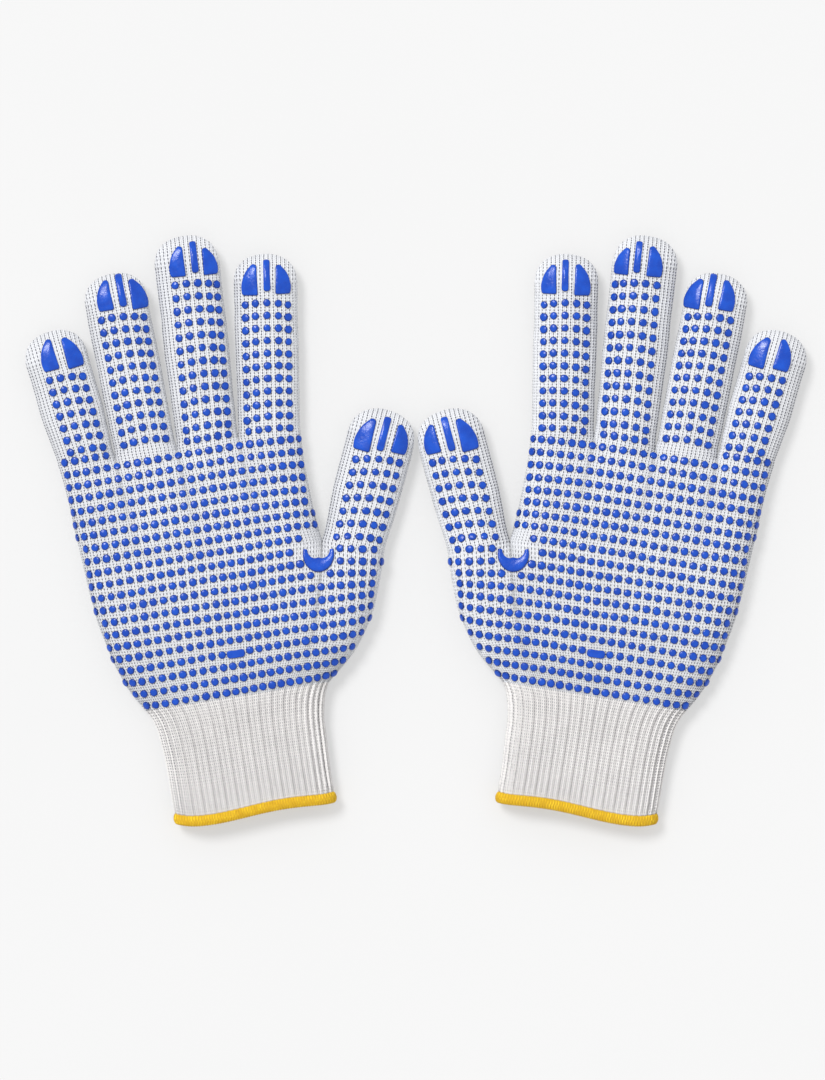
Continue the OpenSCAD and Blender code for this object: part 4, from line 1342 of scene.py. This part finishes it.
def pad_points(outline, thickness):
    """A printed patch with a rounded rim that follows the knit: rings from its rim to its middle."""
    shares = (1.0, 1.0, 0.965, 0.90, 0.78, 0.5, 0.2)
    levels = np.array([-0.25, 0.35, 0.75, 0.94, 1.0, 1.0, 1.0])
    middle = outline.mean(0)
    rows = [on_knit(middle + (outline - middle) * share, thickness * level)
            for share, level in zip(shares, levels)]
    points = np.concatenate(rows + [rows[-1].mean(0)[None]])
    count = len(outline)
    at = np.arange(len(rows) * count).reshape(-1, count)
    beside = np.roll(at, -1, axis=1)
    top = np.full(count, len(points) - 1)
    sides = np.stack([at[:-1], beside[:-1], beside[1:], at[1:]], axis=-1).reshape(-1, 4)
    faces = np.concatenate([sides, np.stack([at[-1], beside[-1], top, top], axis=-1)])
    rise = np.append(np.repeat(np.clip(levels, 0, 1), count), 1)
    return points, faces, rise


def rounded(corners, steps=7):
    """A closed outline through soft corners: each corner is (x, y, radius)."""
    corners = np.array(corners, float)
    outline = []
    for before, here, after in zip(np.roll(corners, 1, 0), corners, np.roll(corners, -1, 0)):
        to_before = before[:2] - here[:2]
        to_after = after[:2] - here[:2]
        reach = min(here[2], np.linalg.norm(to_before) * 0.48, np.linalg.norm(to_after) * 0.48)
        a = here[:2] + to_before / np.linalg.norm(to_before) * reach
        b = here[:2] + to_after / np.linalg.norm(to_after) * reach
        t = np.linspace(0, 1, steps)[:, None]
        outline.append((1 - t) ** 2 * a + 2 * t * (1 - t) * here[:2] + t ** 2 * b)
    return np.concatenate(outline)


def side_patch(sign):
    """A fingertip's side patch about its middle, with its straight edge towards the bar."""
    corners = [(0, 0, 0.9), (0.3, 11.6, 0.9), (1.9, 12.2, 1.4),
               (5.0, 8.6, 3.4), (6.3, 3.8, 3.2), (5.9, 0.2, 1.0)]
    outline = rounded(corners) - [2.9, 5.5]
    return outline if sign > 0 else (outline * [-1, 1])[::-1]


class GLOVES_OT_prints(bpy.types.Operator):
    """Print the grip dots, the fingertip patches, the bars and the crescents"""

    bl_idname = "gloves.prints"
    bl_label = "Grip print"

    def execute(self, context):
        prints = settings().prints
        hand = Hand(settings().knit)
        shape = dot_shape(context, prints)
        radius = prints.dot_diameter / MM / 2
        pitch_along = prints.pitch_along / MM
        crescent_middle = hand.crotch + [-1.3, -5.2]
        digit_plans = [digit_plan(digit, digit_spots(digit, pitch_along))
                       for digit in hand.digits.values()]
        taken = np.concatenate(digit_plans)
        plan = round_borders(hand, palm_dots(prints.pitch_across / MM, pitch_along))
        keep = np.linalg.norm(plan[:, None] - taken[None], axis=2).min(1) > DOT_SPACING
        from_bar = plan - BAR_MIDDLE
        keep &= np.hypot(from_bar[:, 0] / BAR_STRETCH, from_bar[:, 1]) > BAR_ROOM
        keep &= np.linalg.norm(plan - crescent_middle, axis=1) > CRESCENT_SIZE.mean() + radius * 0.9
        plan = plan[keep]
        palm_spots, palm_up = BUILT["ground"].touch(plan)
        angle = np.linspace(-1, 1, 25)
        sweep = np.radians(angle * CRESCENT_HALF_SWEEP)
        thick = 0.24 + 0.56 * np.cos(angle * math.pi / 2) ** 1.2
        arm = np.stack([np.sin(sweep), -np.cos(sweep)], 1) * CRESCENT_SIZE
        outer = crescent_middle + arm
        inner = crescent_middle + arm * (1 - thick)[:, None]
        bar = rounded([(-3.7, -1.7, 1.6), (3.7, -1.7, 1.6), (3.7, 1.7, 1.6),
                       (0, 1.35, 1.5), (-3.7, 1.7, 1.6)])
        tilt = turned(1, 8)
        bar = BAR_MIDDLE + bar @ np.array([tilt, [-tilt[1], tilt[0]]])
        for side in SIDES:
            group = dot_group(f"{side}_palm_grip_dots", shape, palm_spots, palm_up,
                              side, hand, MATERIALS["vinyl"], 11)
            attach(group, f"{side}_palm")
            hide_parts(f"{side}_palm_dots")
            for name, digit in hand.digits.items():
                self.dress_digit(hand, digit, side, shape, pitch_along)
            points, faces, rise = pad_points(bar, BAR_THICKNESS)
            piece = loose_object(f"{side}_palm_print_bar", points, faces,
                                 side, hand, MATERIALS["vinyl"], rise)
            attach(piece, f"{side}_palm")
            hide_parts(f"{side}_palm_bar")
            piece = self.crescent(hand, side, outer, inner)
            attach(piece, f"{side}_palm")
            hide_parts(f"{side}_thumb_crotch_patch")
        return {"FINISHED"}

    def crescent(self, hand, side, outer, inner):
        """The thick printed crescent under the thumb crotch."""
        across = np.array([0, 0, 0.06, 0.2, 0.5, 0.8, 0.94, 1, 1])
        levels = np.array([-0.3, 0.35, 0.8, 1, 1.05, 1, 0.8, 0.35, -0.3])
        rows = [on_knit(mix(outer, inner, share), CRESCENT_THICKNESS * level)
                for share, level in zip(across, levels)]
        rise = np.repeat(np.clip(levels, 0, 1), len(outer))
        return loose_object(f"{side}_thumb_crotch_print", np.concatenate(rows),
                            grid_faces(len(rows), len(outer)), side, hand, MATERIALS["vinyl"], rise)

    def dress_digit(self, hand, digit, side, shape, pitch_along):
        """Dots and patches of one digit, parted where its knit is."""
        spots = digit_spots(digit, pitch_along)
        points, ups = BUILT["ground"].touch(digit_plan(digit, spots))
        lower = spots[:, 1] < digit.base_length * KNIT_SPLIT
        for part, chosen in (("lower", lower), ("upper", ~lower)):
            group = dot_group(f"{side}_{digit.name}_{part}_dots", shape, points[chosen], ups[chosen],
                              side, hand, MATERIALS["vinyl"], 17 + len(digit.name))
            if part == "lower":
                bend_at_base(group, hand, digit, side)
                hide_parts(f"{side}_{digit.name}_base_dots")
            else:
                bend_at_middle(group, hand, digit, side)
                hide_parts(f"{side}_{digit.name}_tip_dots")
        self.tip_patches(hand, digit, side)

    def tip_patches(self, hand, digit, side):
        """Two or three thick patches on a fingertip."""
        bar = rounded([(-1.4, -6.4, 1.3), (1.4, -6.4, 1.3), (1.3, 6.4, 1.0), (-1.3, 6.4, 1.0)])
        shapes = {"outer": side_patch(-1), "bar": bar, "inner": side_patch(1)}
        if digit.name == "little":
            del shapes["bar"]
        for (part, outline), (x, drop, size) in zip(shapes.items(), PATCHES[digit.name]):
            plan = digit_plan(digit, outline * size + [x, digit.length - drop])
            points, faces, rise = pad_points(plan, PATCH_THICKNESS)
            piece = loose_object(f"{side}_{digit.name}_tip_patch_{part}", points, faces,
                                 side, hand, MATERIALS["vinyl"], rise)
            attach(piece, f"{side}_{digit.name}_tip")


# ---- Stage ----

class GLOVES_OT_stage(bpy.types.Operator):
    """Lay the gloves on a pale floor under soft light and set the camera above them"""

    bl_idname = "gloves.stage"
    bl_label = "Stage"

    def execute(self, context):
        scene = context.scene
        stage = settings().stage
        bpy.ops.object.select_all(action="DESELECT")
        bpy.ops.mesh.primitive_plane_add(size=6, location=(0, 0, -0.4 * MM))
        floor = context.object
        floor.name = "floor"
        bpy.ops.object.transform_apply(location=True, rotation=True, scale=True)
        material, tree, shader = new_material("pale_floor", (0.36, 0.36, 0.36, 1), 0.9)
        coords = tree.nodes.new("ShaderNodeTexCoord").outputs["Object"]
        grain = noise_node(tree, coords, 4)
        tree.links.new(mix_colour(tree, grain, (0.35, 0.35, 0.35, 1), (0.37, 0.37, 0.37, 1)),
                       shader.inputs["Base Color"])
        shader.inputs["Emission Color"].default_value = (1, 1, 1, 1)
        shader.inputs["Emission Strength"].default_value = 0.435
        shader.inputs["Specular IOR Level"].default_value = 0.1
        floor.data.materials.append(material)

        world = bpy.data.worlds.new("soft_studio")
        world.use_nodes = True
        background = world.node_tree.nodes["Background"]
        background.inputs["Color"].default_value = (1, 1, 1, 1)
        background.inputs["Strength"].default_value = stage.sky
        scene.world = world
        towards_sun = Vector((-0.5, 0.6, 1.2))
        bpy.ops.object.light_add(type="SUN", location=towards_sun)
        sun = context.object
        sun.name = "soft_window"
        sun.data.energy = stage.sun
        sun.data.angle = math.radians(20)
        sun.rotation_mode = "QUATERNION"
        sun.rotation_quaternion = (-towards_sun).to_track_quat("-Z", "Y")

        sensor = 36.0
        aim_x, aim_y, aim_z = -1.4 * MM, -3.2 * MM, 9 * MM
        distance = stage.view_height * stage.focal_length / sensor
        bpy.ops.object.camera_add(location=(aim_x, aim_y, distance + aim_z), rotation=(0, 0, 0))
        camera = context.object
        camera.name = "overhead_camera"
        camera.data.lens = stage.focal_length
        camera.data.sensor_width = sensor
        camera.data.clip_end = 20
        scene.camera = camera
        scene.view_settings.view_transform = "Standard"
        return {"FINISHED"}


class GLOVES_PT_panel(bpy.types.Panel):
    """Lists the gloves' settings and the steps that build them"""

    bl_label = "Gloves"
    bl_idname = "GLOVES_PT_panel"
    bl_space_type = "VIEW_3D"
    bl_region_type = "UI"
    bl_category = "Gloves"

    def draw(self, context):
        for group in (settings().knit, settings().cuff, settings().prints, settings().stage):
            box = self.layout.box()
            for name in group.__annotations__:
                box.prop(group, name)
        for operator in STEPS:
            self.layout.operator(operator.bl_idname)


STEPS = (GLOVES_OT_stage, GLOVES_OT_materials, GLOVES_OT_knit, GLOVES_OT_lining, GLOVES_OT_hem,
         GLOVES_OT_prints)
CLASSES = (KnitSettings, CuffSettings, PrintSettings, StageSettings, GloveSettings, *STEPS,
           GLOVES_PT_panel)


def register():
    for item in CLASSES:
        bpy.utils.register_class(item)
    bpy.types.Scene.glove_settings = bpy.props.PointerProperty(type=GloveSettings)


def unregister():
    del bpy.types.Scene.glove_settings
    for item in reversed(CLASSES):
        bpy.utils.unregister_class(item)


def main():
    register()
    bpy.ops.gloves.stage()
    bpy.ops.gloves.materials()
    bpy.ops.gloves.knit()
    bpy.ops.gloves.lining()
    bpy.ops.gloves.hem()
    bpy.ops.gloves.prints()


if __name__ == "__main__":
    main()
